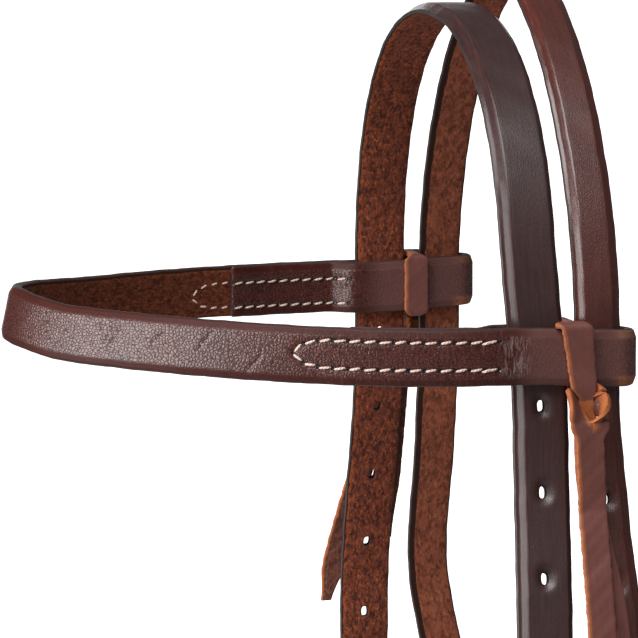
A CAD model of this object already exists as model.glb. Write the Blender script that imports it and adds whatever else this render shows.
"""Looks of a western browband headstall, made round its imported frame.

Every strap is made as it is at the bench: cut flat, punched, slit, then bent along its route.
Flat places are (across, along, through) in metres: across the strap's width, along its length
and through its thickness, with the grain side up. Shader patterns read the same flat places.
In the frame X runs to the horse's near side, Y to its tail and Z up.
"""
import logging
import math
from dataclasses import dataclass, field
from enum import Enum
from typing import Callable, Optional, Sequence, Union

import bmesh
import bpy
import numpy as np
from bmesh.types import BMesh
from bpy.types import ID, Material, Mesh, Node, NodeSocket, Object
from mathutils import Matrix, Vector


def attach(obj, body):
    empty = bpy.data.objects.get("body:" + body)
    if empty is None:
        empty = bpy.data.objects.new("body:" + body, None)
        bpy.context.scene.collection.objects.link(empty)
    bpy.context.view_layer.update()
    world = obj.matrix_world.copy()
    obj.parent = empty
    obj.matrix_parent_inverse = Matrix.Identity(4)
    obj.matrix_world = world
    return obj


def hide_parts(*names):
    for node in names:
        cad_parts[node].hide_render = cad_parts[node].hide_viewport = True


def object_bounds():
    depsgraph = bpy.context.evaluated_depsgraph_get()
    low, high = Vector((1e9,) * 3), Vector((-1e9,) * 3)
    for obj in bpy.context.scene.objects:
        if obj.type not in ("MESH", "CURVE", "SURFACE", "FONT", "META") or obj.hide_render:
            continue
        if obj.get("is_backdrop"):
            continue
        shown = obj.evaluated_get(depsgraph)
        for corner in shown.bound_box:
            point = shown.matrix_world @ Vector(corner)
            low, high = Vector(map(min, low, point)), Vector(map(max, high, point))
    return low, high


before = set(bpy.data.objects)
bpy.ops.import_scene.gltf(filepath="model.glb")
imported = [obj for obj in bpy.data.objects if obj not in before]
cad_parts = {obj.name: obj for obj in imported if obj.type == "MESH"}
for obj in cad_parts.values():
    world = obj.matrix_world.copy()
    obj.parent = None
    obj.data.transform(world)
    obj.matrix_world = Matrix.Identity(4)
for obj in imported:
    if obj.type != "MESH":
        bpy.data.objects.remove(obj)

LOG = logging.getLogger("headstall")
MM = 0.001
OUT = np.array([1.0, 0.0, 0.0])
BACK = np.array([0.0, 1.0, 0.0])
UP = np.array([0.0, 0.0, 1.0])
MIRROR = np.array([-1.0, 1.0, 1.0])

Colour = tuple[float, float, float]
Spot = tuple[float, float, float]
Shape = Callable[[np.ndarray], np.ndarray]


class Side(Enum):
    """The horse's two sides; the value is the sign of X."""

    NEAR = 1
    FAR = -1

    @property
    def word(self) -> str:
        """The side's name in piece names."""
        return self.name.lower()


class Face(Enum):
    """The two faces of a strap; the value is the sign of the height through it."""

    GRAIN = 1
    FLESH = -1


def ease(share: np.ndarray) -> np.ndarray:
    """Ease a share from 0 to 1 with level ends."""
    held = np.clip(share, 0.0, 1.0)
    return held * held * (3.0 - 2.0 * held)


def blend(start: float, end: float, share: np.ndarray) -> np.ndarray:
    """Run from start to end as share goes from 0 to 1, with level ends."""
    return start + (end - start) * ease(share)


def spaced(start: float, end: float, step: float) -> np.ndarray:
    """Return even values from start to end, no further apart than step."""
    count = max(1, math.ceil(abs(end - start) / step - 1.0e-9))
    return np.linspace(start, end, count + 1)


def columns(*parts: Union[float, np.ndarray]) -> np.ndarray:
    """Stand values side by side as the columns of rows; a single number fills its column."""
    return np.stack(np.broadcast_arrays(*parts), axis=1)


def measured(points: np.ndarray) -> np.ndarray:
    """Return how far along a line of points each of them lies."""
    return np.concatenate([[0.0], np.cumsum(np.linalg.norm(np.diff(points, axis=0), axis=1))])


def read_line(at: np.ndarray, lengths: np.ndarray, points: np.ndarray) -> np.ndarray:
    """Return the points at distances along a measured line."""
    return columns(*(np.interp(at, lengths, column) for column in points.T))


def ripple(place: np.ndarray, wavelength: float, seed: float) -> np.ndarray:
    """Return an uneven wave between about -1 and 1 that never quite repeats.

    Args:
        place: Where the wave is read, in metres.
        wavelength: Its main wavelength.
        seed: Shifts the wave, so that pieces differ.

    Returns:
        The wave's height at each place.
    """
    turn = math.tau * place / wavelength
    wave = 0.5 * np.sin(turn + seed) + 0.3 * np.sin(1.73 * turn + 2.1 * seed)
    return wave + 0.2 * np.sin(3.31 * turn + 0.7 * seed)


@dataclass(frozen=True)
class Pattern:
    """Sizes that several sub-assemblies share, in the maker's own frame.

    Its zero is at the browband's mid height, midway between the two browband loops.
    """

    touch: float = 0.3 * MM
    band_width: float = 19.05 * MM
    band_thick: float = 4.6 * MM
    half_span: float = 101.6 * MM
    crown_width: float = 19.05 * MM
    crown_thick: float = 4.2 * MM
    crown_from_fold: float = 36.5 * MM
    crown_rise: float = 108.4 * MM
    crown_flare: float = 22.0 * MM
    crown_heel_drop: float = 167.7 * MM
    throat_width: float = 15.9 * MM
    throat_thick: float = 3.8 * MM
    throat_from_fold: float = 13.2 * MM
    throat_flare: float = 20.0 * MM
    arch_base: float = 8.4 * MM
    leg_straight: float = 19.0 * MM
    leg_flare_end: float = 125.0 * MM
    hole_pitch: float = 28.5 * MM
    hole_half_across: float = 1.3 * MM
    hole_half_along: float = 2.1 * MM
    holes_above: int = 5
    holes_below: int = 2
    worn_hole_half: float = 4.6 * MM
    worn_half_across: float = 2.4 * MM
    billet_land: float = 26.0 * MM
    billet_point: float = 15.0 * MM
    billet_point_share: float = 0.24
    billet_lift: float = 3.0 * MM
    billet_ramp: float = 20.0 * MM
    billet_ramp_clear: float = 2.0 * MM
    tongue_above_heel: float = 11.0 * MM
    wire_radius: float = 1.9 * MM
    cheek_thick: float = 3.4 * MM
    skived_thick: float = 2.6 * MM
    turn_end_thick: float = 2.0 * MM
    turn_taper: float = 12.0 * MM
    turn_length: float = 38.0 * MM
    slide_down: float = 8.0 * MM
    loop_sag: float = 1.7 * MM
    loop_sag_reach: float = 45.0 * MM

    def loop_dip(self, x: np.ndarray, y: np.ndarray) -> np.ndarray:
        """How far a loop's end sits above the band's line: the near one sags, the far one rides up."""
        return -np.sign(x) * self.loop_sag * (1.0 - ease(-y / self.loop_sag_reach))

    @property
    def origin(self) -> np.ndarray:
        """What carries the maker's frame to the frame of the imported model."""
        return np.array([0.0, self.crown_from_fold, self.crown_thick / 2 - self.crown_rise])

    @property
    def fold_radius(self) -> float:
        """Radius of the browband's middle layer where it turns back round the straps."""
        return (self.crown_thick + 2 * self.touch + self.band_thick) / 2

    @property
    def billet_reach(self) -> float:
        """Length of a billet below its heel bar."""
        return self.holes_below * self.hole_pitch + self.billet_land - self.tongue_above_heel

    def strap_line(self, thick: float) -> float:
        """X of a strap's middle where it passes inside the browband loop."""
        return self.half_span - self.band_thick / 2 - self.touch - thick / 2

    def leg_x(self, height: np.ndarray, start: float, flare: float) -> np.ndarray:
        """X of a leg's middle line at a height; it flares out below its straight run."""
        return start + flare * ease((-height - self.leg_straight) / (self.leg_flare_end - self.leg_straight))

    def billet_offset(self, down: np.ndarray) -> np.ndarray:
        """How far a billet stands off its leg's line, by distance below the heel bar."""
        return self.billet_lift * ease((down + self.billet_ramp + self.billet_ramp_clear) / self.billet_ramp)

    def billet_width(self, width: float, left: np.ndarray) -> np.ndarray:
        """Width of a billet, given the length that is left to its tip."""
        share = np.clip(1.0 - left / self.billet_point, 0.0, 1.0)
        return width * (self.billet_point_share + (1.0 - self.billet_point_share) * np.sqrt(1.0 - share**2))


@dataclass
class Route:
    """A strap's middle line, with its width direction and its sizes at every sample.

    A direction or a size that is the same all along is given once.
    """

    centres: np.ndarray
    sides: np.ndarray
    widths: Union[float, np.ndarray]
    thicks: Union[float, np.ndarray]
    flipped: bool = False
    lengths: np.ndarray = field(init=False)
    faces: np.ndarray = field(init=False)

    def __post_init__(self) -> None:
        """Fill the tables, measure the line and find which way its grain side looks."""
        count = len(self.centres)
        self.sides = np.broadcast_to(self.sides, (count, 3))
        self.widths = np.broadcast_to(self.widths, count)
        self.thicks = np.broadcast_to(self.thicks, count)
        self.lengths = measured(self.centres)
        runs = np.gradient(self.centres, self.lengths, axis=0)
        faces = np.cross(self.sides, runs)
        if self.flipped:
            faces = -faces
        self.faces = faces / np.linalg.norm(faces, axis=1)[:, None]

    @property
    def length(self) -> float:
        """Length of the middle line."""
        return float(self.lengths[-1])

    def mirrored(self) -> "Route":
        """Return the same route on the horse's other side."""
        return Route(self.centres * MIRROR, self.sides * MIRROR, self.widths, self.thicks, not self.flipped)

    def read(self, table: np.ndarray, along: np.ndarray) -> np.ndarray:
        """Read a per-sample table at distances along the route."""
        if table.ndim == 1:
            return np.interp(along, self.lengths, table)
        return read_line(along, self.lengths, table)

    def place(self, flat: np.ndarray) -> np.ndarray:
        """Bend flat places onto the route.

        Args:
            flat: Rows of (across, along, through).

        Returns:
            Rows of (x, y, z).
        """
        faces = self.read(self.faces, flat[:, 1])
        faces /= np.linalg.norm(faces, axis=1)[:, None]
        spot = self.read(self.centres, flat[:, 1]) + self.read(self.sides, flat[:, 1]) * flat[:, :1]
        return spot + faces * flat[:, 2:]

    def nearest(self, spot: Sequence[float]) -> float:
        """Distance along the route of the point nearest to a spot."""
        return float(self.lengths[np.argmin(np.linalg.norm(self.centres - np.array(spot), axis=1))])


@dataclass(frozen=True)
class Sway:
    """How a hanging strap leans forward or back between two heights, measured down from the browband."""

    reach: float
    rise_from: float
    rise_to: float
    fall_from: float
    fall_to: float

    def __call__(self, heights: np.ndarray) -> np.ndarray:
        """Distance back at each height."""
        down = -heights
        risen = ease((down - self.rise_from) / (self.rise_to - self.rise_from))
        return self.reach * risen * (1.0 - ease((down - self.fall_from) / (self.fall_to - self.fall_from)))


@dataclass(frozen=True)
class Section:
    """A strap's cross-section: bevelled along both sides of its grain, with round burnished edges."""

    width: float
    thick: float
    bevel: float = 2.2 * MM
    bevel_drop: float = 0.72 * MM
    crest_round: float = 0.14
    edge_depth: float = 1.1 * MM
    flesh_drop: float = 0.2 * MM
    cell: float = 0.9 * MM
    edge_steps: int = 8
    bevel_steps: int = 7
    back_share: float = 1.0

    def drop(self, share: float) -> float:
        """Depth of the bevel below the grain, by the share of its width from its crest."""
        soft = self.crest_round
        whole = math.hypot(1.0, soft) - soft
        return self.bevel_drop * (math.hypot(share, soft) - soft) / whole

    def outline(self) -> list[tuple[float, float, float]]:
        """Return (across, through, zone) round the section; zone is 1 on grain and -1 on flesh."""
        flat = self.width / 2 - self.edge_depth
        half = self.thick / 2
        back_share = self.back_share
        crest = flat - self.bevel
        left_crest = self.bevel * back_share - flat
        middle = (self.flesh_drop - self.bevel_drop) / 2
        rise = half + middle - self.flesh_drop
        slope = [(crest + self.bevel * share, half - self.drop(share), 1.0)
                 for share in np.linspace(0.0, 1.0, self.bevel_steps + 1) ** 1.5]
        arc = [(flat + self.edge_depth * math.sin(turn), middle + rise * math.cos(turn), math.cos(turn))
               for turn in np.linspace(0.0, math.pi, self.edge_steps + 1)[1:-1]]
        face = [(across, half, 1.0) for across in spaced(left_crest, crest, self.cell)[1:-1]]
        back = [(across, self.flesh_drop * max(abs(across) - crest, 0.0) ** 2 / self.bevel**2 - half, -1.0)
                for across in spaced(flat, -flat, self.cell)]
        left_slope = [((flat - across) * back_share - flat, half - (half - through) * back_share, zone)
                      for across, through, zone in slope[::-1]]
        back_rise = half - self.bevel_drop * back_share
        left_arc = [(-across, through + (back_rise - middle - rise) * max(zone, 0.0), zone)
                    for across, through, zone in arc[::-1]]
        return left_slope + face + slope + arc + back + left_arc


@dataclass(frozen=True)
class Punch:
    """A hole in the middle of a strap: round, or long with round ends along the strap."""

    along: float
    half_across: float
    half_along: float

    def core(self, across: np.ndarray, along: np.ndarray) -> tuple[np.ndarray, np.ndarray]:
        """Return places measured from the nearest point of the hole's core line."""
        stretch = max(self.half_along - self.half_across, 0.0)
        past = along - self.along
        return across, past - np.clip(past, -stretch, stretch)

    def beyond(self, across: np.ndarray, along: np.ndarray) -> np.ndarray:
        """Distance outside the hole's rim; negative inside it."""
        side, ahead = self.core(across, along)
        return np.hypot(side, ahead) - self.half_across


@dataclass
class Strap:
    """One piece of leather: cut flat to its section, punched, shaped and bent along its route."""

    name: str
    section: Section
    route: Route
    punches: list[Punch] = field(default_factory=list)
    shapes: list[Shape] = field(default_factory=list)
    extras: dict[str, Shape] = field(default_factory=dict)
    step: float = 1.1 * MM
    end_round: float = 0.9 * MM
    pattern_shift: float = 0.0
    rim_bevel: float = 0.18 * MM
    wear_reach: float = 3.2 * MM
    back_wear_reach: float = 3.2 * MM
    turned_from: float = math.inf
    torn: tuple[float, float] = (-1.0, -1.0)
    torn_fade: float = 3.0 * MM

    def rows(self) -> np.ndarray:
        """Return the distances of the cross-rows, closer together at the two rounded ends."""
        near = self.end_round * (1.0 - np.cos(np.linspace(0.0, math.pi / 2, 5)))
        inner = spaced(self.end_round, self.route.length - self.end_round, self.step)[1:-1]
        return np.concatenate([near, inner, (self.route.length - near)[::-1]])

    def cut(self) -> BMesh:
        """Cut the strap flat: a grid rolled round the section, closed at both ends.

        Returns:
            The flat strap, with its zone layer filled.
        """
        outline = self.section.outline()
        rows = self.rows()
        count = len(outline)
        last = len(rows) - 1
        flat = bmesh.new()
        zone = flat.verts.layers.float.new("zone")
        bmesh.ops.create_grid(flat, x_segments=count, y_segments=last, size=1.0)
        for vert in flat.verts:
            column = round((vert.co.x + 1.0) / 2 * count) % count
            row = round((vert.co.y + 1.0) / 2 * last)
            across, through, vert[zone] = outline[column]
            vert.co = (across, rows[row], through)
        bmesh.ops.remove_doubles(flat, verts=flat.verts, dist=1.0e-7)
        bmesh.ops.holes_fill(flat, edges=flat.edges, sides=0)
        return flat

    def punch(self, flat: BMesh) -> None:
        """Punch every hole through a flat strap and soften its rims."""
        lift = self.section.thick / 2 - self.section.flesh_drop
        wanted = {hole: [] for hole in self.punches}
        for face in flat.faces:
            spot = face.calc_center_median()
            for hole in self.punches:
                reach = hole.half_along + self.section.cell
                if abs(spot.y - hole.along) < reach and abs(spot.z) > lift * 0.8:
                    margin = max(self.section.cell * 0.55 - hole.half_across, 0.0)
                    if hole.beyond(spot.x, spot.y) < margin:
                        wanted[hole].append(face)
        for hole, faces in wanted.items():
            loose = [edge for face in faces for edge in face.edges]
            bmesh.ops.delete(flat, geom=faces, context="FACES")
            rim = [edge for edge in set(loose) if edge.is_valid and len(edge.link_faces) == 1]
            for vert in {vert for edge in rim for vert in edge.verts}:
                side, ahead = (float(part) for part in hole.core(vert.co.x, vert.co.y))
                reach = math.hypot(side, ahead) or 1.0
                scale = hole.half_across / reach - 1.0
                vert.co.x += side * scale
                vert.co.y += ahead * scale
            bmesh.ops.bridge_loops(flat, edges=rim)
            bmesh.ops.bevel(flat, geom=rim, offset=self.rim_bevel, segments=2, profile=0.5,
                            affect="EDGES", material=-1)

    def round_ends(self, flat: np.ndarray) -> np.ndarray:
        """Draw the section in over the last fraction of a millimetre at each end."""
        left = np.minimum(flat[:, 1], self.route.length - flat[:, 1])
        share = np.clip(1.0 - left / self.end_round, 0.0, 1.0)
        kept = np.sqrt(1.0 - 0.8 * share**2)
        half = self.section.width / 2
        drawn = 1.0 - (1.0 - kept) * self.end_round / half
        return columns(flat[:, 0] * drawn, flat[:, 1], flat[:, 2] * kept)

    def build(self, look: Material, body: str, slot: Optional[str] = None,
              stands_for: Sequence[str] = ()) -> Object:
        """Make the strap and hang it on a body.

        Args:
            look: Its material.
            body: The body that it rides on.
            slot: The record's material slot of its finish.
            stands_for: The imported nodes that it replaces.

        Returns:
            The finished piece.
        """
        flat = self.cut()
        self.punch(flat)
        bmesh.ops.recalc_face_normals(flat, faces=flat.faces)
        mesh = finished(flat, self.name)
        places = read_places(mesh)
        zones = read_numbers(mesh, "zone")
        scale = self.route.read(self.route.widths, places[:, 1]) / self.section.width
        inset = (self.section.width / 2 - np.abs(places[:, 0])) * scale
        inset = np.where(places[:, 0] < 0.0, inset / self.section.back_share, inset)
        zones = np.where(places[:, 1] > self.turned_from, -zones, zones)
        wear = np.zeros(len(places))
        reach = np.where(places[:, 0] > 0.0, self.wear_reach, self.back_wear_reach)
        for hole in self.punches:
            wear = np.maximum(wear, 1.0 - hole.beyond(places[:, 0], places[:, 1]) / reach)
        ripped = np.minimum(places[:, 1] - self.torn[0], self.torn[1] - places[:, 1])
        wear = np.maximum(wear, ripped / self.torn_fade)
        shifted = places + np.array([0.0, self.pattern_shift, 0.0])
        shifted[:, 0] *= scale
        write_vectors(mesh, "cut", shifted)
        write_vectors(mesh, "skin", columns(inset, np.clip(wear, 0.0, 1.0), zones))
        for name, reader in self.extras.items():
            write_vectors(mesh, name, reader(places))
        shaped = self.round_ends(places)
        shaped[:, 0] *= scale
        shaped[:, 2] *= self.route.read(self.route.thicks, places[:, 1]) / self.section.thick
        for shape in self.shapes:
            shaped = shape(shaped)
        write_places(mesh, self.route.place(shaped))
        if self.route.flipped:
            mesh.flip_normals()
        return add_piece(mesh, look, body, stands_for)


def finished(shape: BMesh, name: str) -> Mesh:
    """Turn a finished bmesh into a mesh."""
    mesh = bpy.data.meshes.new(name)
    shape.to_mesh(mesh)
    shape.free()
    return mesh


def placed(name: str, data: ID) -> Object:
    """Add a mesh, a lamp or a camera to the scene."""
    item = bpy.data.objects.new(name, data)
    bpy.context.scene.collection.objects.link(item)
    return item


def read_places(mesh: Mesh) -> np.ndarray:
    """Return a mesh's vertex places as rows."""
    rows = np.zeros(len(mesh.vertices) * 3, np.float32)
    mesh.vertices.foreach_get("co", rows)
    return rows.reshape(-1, 3).astype(float)


def read_numbers(mesh: Mesh, name: str) -> np.ndarray:
    """Return a number attribute of a mesh."""
    rows = np.zeros(len(mesh.vertices), np.float32)
    mesh.attributes[name].data.foreach_get("value", rows)
    return rows.astype(float)


def write_places(mesh: Mesh, rows: np.ndarray) -> None:
    """Set a mesh's vertex places."""
    mesh.vertices.foreach_set("co", rows.astype(np.float32).ravel())
    mesh.update()


def write_vectors(mesh: Mesh, name: str, rows: np.ndarray) -> None:
    """Add a vector attribute to a mesh's points."""
    layer = mesh.attributes.new(name, "FLOAT_VECTOR", "POINT")
    layer.data.foreach_set("vector", rows.astype(np.float32).ravel())


def add_piece(mesh: Mesh, look: Material, body: str,
              stands_for: Sequence[str] = (), sharp: float = 42.0) -> Object:
    """Add a finished mesh as a piece that rides on a body.

    Args:
        mesh: The mesh, in place, whose name becomes the piece's.
        look: Its material.
        body: The body that it rides on.
        stands_for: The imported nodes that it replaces.
        sharp: Angle in degrees past which an edge is shaded sharp.

    Returns:
        The piece.
    """
    mesh.materials.append(look)
    mesh.shade_smooth()
    mesh.set_sharp_from_angle(angle=math.radians(sharp))
    item = placed(mesh.name, mesh)
    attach(item, body)
    if stands_for:
        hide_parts(*stands_for)
    LOG.info("%s: %d faces on %s", item.name, len(mesh.polygons), body)
    return item


class Value:
    """A number's socket in a shader tree; Python's operators on it add Math nodes."""

    def __init__(self, tree: "ShaderTree", socket: NodeSocket) -> None:
        """Wrap a socket of a tree."""
        self.tree = tree
        self.socket = socket

    def __add__(self, other: "Number") -> "Value":
        """Add."""
        return self.tree.math("ADD", self, other)

    __radd__ = __add__

    def __sub__(self, other: "Number") -> "Value":
        """Subtract."""
        return self.tree.math("SUBTRACT", self, other)

    def __rsub__(self, other: "Number") -> "Value":
        """Subtract from a number."""
        return self.tree.math("SUBTRACT", other, self)

    def __mul__(self, other: "Number") -> "Value":
        """Multiply."""
        return self.tree.math("MULTIPLY", self, other)

    __rmul__ = __mul__

    def __truediv__(self, other: "Number") -> "Value":
        """Divide."""
        return self.tree.math("DIVIDE", self, other)

    def __pow__(self, other: "Number") -> "Value":
        """Raise to a power."""
        return self.tree.math("POWER", self, other)

    def __neg__(self) -> "Value":
        """Change sign."""
        return self.tree.math("MULTIPLY", self, -1.0)

    def __abs__(self) -> "Value":
        """Drop the sign."""
        return self.tree.math("ABSOLUTE", self)

    def rise(self, low: float, high: float) -> "Value":
        """Return 0 below low and 1 above high, eased between; low above high turns it round."""
        node = self.tree.node("ShaderNodeMapRange", {"interpolation_type": "SMOOTHSTEP"},
                              {"Value": self, "From Min": low, "From Max": high})
        return Value(self.tree, node.outputs["Result"])


Number = Union[Value, float]


class ShaderTree:
    """A new material whose nodes are added by one method."""

    def __init__(self, name: str) -> None:
        """Start a material with its Principled shader."""
        self.material = bpy.data.materials.new(name)
        self.material.use_nodes = True
        self.shader = self.material.node_tree.nodes["Principled BSDF"]

    def node(self, kind: str, settings: Optional[dict] = None, sockets: Optional[dict] = None) -> Node:
        """Add a node.

        Args:
            kind: The node's type.
            settings: Its settings, set first.
            sockets: Values, colours or links of its inputs, by name or number.

        Returns:
            The node.
        """
        made = self.material.node_tree.nodes.new(kind)
        for key, setting in (settings or {}).items():
            setattr(made, key, setting)
        for key, value in (sockets or {}).items():
            self.feed(made.inputs[key], value)
        return made

    def feed(self, target: NodeSocket, value: object) -> None:
        """Link a socket to an input, or set the input's own value."""
        if isinstance(value, Value):
            value = value.socket
        if isinstance(value, NodeSocket):
            self.material.node_tree.links.new(value, target)
        elif isinstance(value, tuple) and len(value) == 3 and target.type == "RGBA":
            target.default_value = (*value, 1.0)
        else:
            target.default_value = value

    def math(self, operation: str, *terms: Number) -> Value:
        """Add a Math node."""
        node = self.node("ShaderNodeMath", {"operation": operation}, dict(enumerate(terms)))
        return Value(self, node.outputs[0])

    def vector(self, name: str) -> NodeSocket:
        """Read a vector attribute of the piece."""
        return self.node("ShaderNodeAttribute", {"attribute_name": name}).outputs["Vector"]

    def parts(self, vector: NodeSocket) -> tuple[Value, Value, Value]:
        """Split a vector into its three numbers."""
        node = self.node("ShaderNodeSeparateXYZ", sockets={"Vector": vector})
        return tuple(Value(self, socket) for socket in node.outputs)

    def stretched(self, vector: NodeSocket, scale: Colour) -> NodeSocket:
        """Scale a vector along its three axes."""
        return self.node("ShaderNodeVectorMath", {"operation": "MULTIPLY"}, {0: vector, 1: scale}).outputs[0]

    def bent(self, vector: NodeSocket, scale: float, amount: float) -> NodeSocket:
        """Push a vector about by a soft noise, so that a pattern on it isn't regular."""
        noise = self.node("ShaderNodeTexNoise", sockets={"Vector": vector, "Scale": scale, "Detail": 1.0})
        push = self.node("ShaderNodeVectorMath", {"operation": "MULTIPLY_ADD"},
                         {0: noise.outputs["Color"], 1: (amount, amount, amount), 2: vector})
        return push.outputs[0]

    def noise(self, vector: NodeSocket, scale: float, detail: float = 3.0,
              rough: float = 0.5, twist: float = 0.0) -> Value:
        """Read a soft noise from 0 to 1."""
        node = self.node("ShaderNodeTexNoise", sockets={
            "Vector": vector, "Scale": scale, "Detail": detail, "Roughness": rough, "Distortion": twist})
        return Value(self, node.outputs["Fac"])

    def cells(self, vector: NodeSocket, scale: float, feature: str = "DISTANCE_TO_EDGE") -> Value:
        """Read a cell pattern: the distance to a cell's edge or to its middle."""
        node = self.node("ShaderNodeTexVoronoi", {"feature": feature}, {"Vector": vector, "Scale": scale})
        return Value(self, node.outputs["Distance"])

    def mix(self, share: Number, first: object, second: object) -> NodeSocket:
        """Mix two colours."""
        node = self.node("ShaderNodeMix", {"data_type": "RGBA"}, {0: share, 6: first, 7: second})
        return node.outputs[2]

    def dress(self, colour: object, rough: Number, height: Value) -> Material:
        """Feed the shader with a colour, a roughness and a height in metres.

        Args:
            colour: Base colour.
            rough: Roughness.
            height: Relief in metres.

        Returns:
            The finished material.
        """
        bump = self.node("ShaderNodeBump", sockets={"Strength": 1.0, "Distance": 1.0, "Height": height})
        self.feed(self.shader.inputs["Base Color"], colour)
        self.feed(self.shader.inputs["Roughness"], rough)
        self.feed(self.shader.inputs["Normal"], bump.outputs["Normal"])
        return self.material

    def backed(self, share: Value, colour: object, rough: float, gloss: float) -> Material:
        """Mix in a second, dull shader where share is 1.

        Args:
            share: Where the second shader shows.
            colour: Its base colour.
            rough: Its roughness.
            gloss: Its specular level.

        Returns:
            The finished material.
        """
        surface = self.material.node_tree.nodes["Material Output"].inputs["Surface"]
        dull = self.node("ShaderNodeBsdfPrincipled", sockets={
            "Base Color": colour, "Roughness": rough, "Specular IOR Level": gloss,
            "Normal": self.shader.inputs["Normal"].links[0].from_socket})
        both = self.node("ShaderNodeMixShader", sockets={
            0: share, 1: surface.links[0].from_socket, 2: dull.outputs["BSDF"]})
        self.feed(surface, both.outputs[0])
        return self.material


@dataclass(frozen=True)
class Crease:
    """A fold pressed into the leather, between two places (distance from the loop's end, across)."""

    start: tuple[float, float]
    end: tuple[float, float]
    width: float = 0.3 * MM

    def masks(self, from_end: Value, across: Value) -> tuple[Value, Value]:
        """Return masks of the fold's fine line and of the soft hollow round it."""
        run = np.array(self.end) - np.array(self.start)
        size = float(np.linalg.norm(run))
        ahead_x, ahead_y = (float(part) for part in run / size)
        past = from_end - self.start[0]
        off = across - self.start[1]
        ahead = past * ahead_x + off * ahead_y
        aside = abs(off * ahead_x - past * ahead_y)
        taper = ahead.rise(-0.8 * MM, 1.6 * MM) * ahead.rise(size + 0.8 * MM, size - 1.6 * MM)
        return aside.rise(self.width, 0.0) * taper, aside.rise(1.5 * MM, 0.0) * taper


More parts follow.
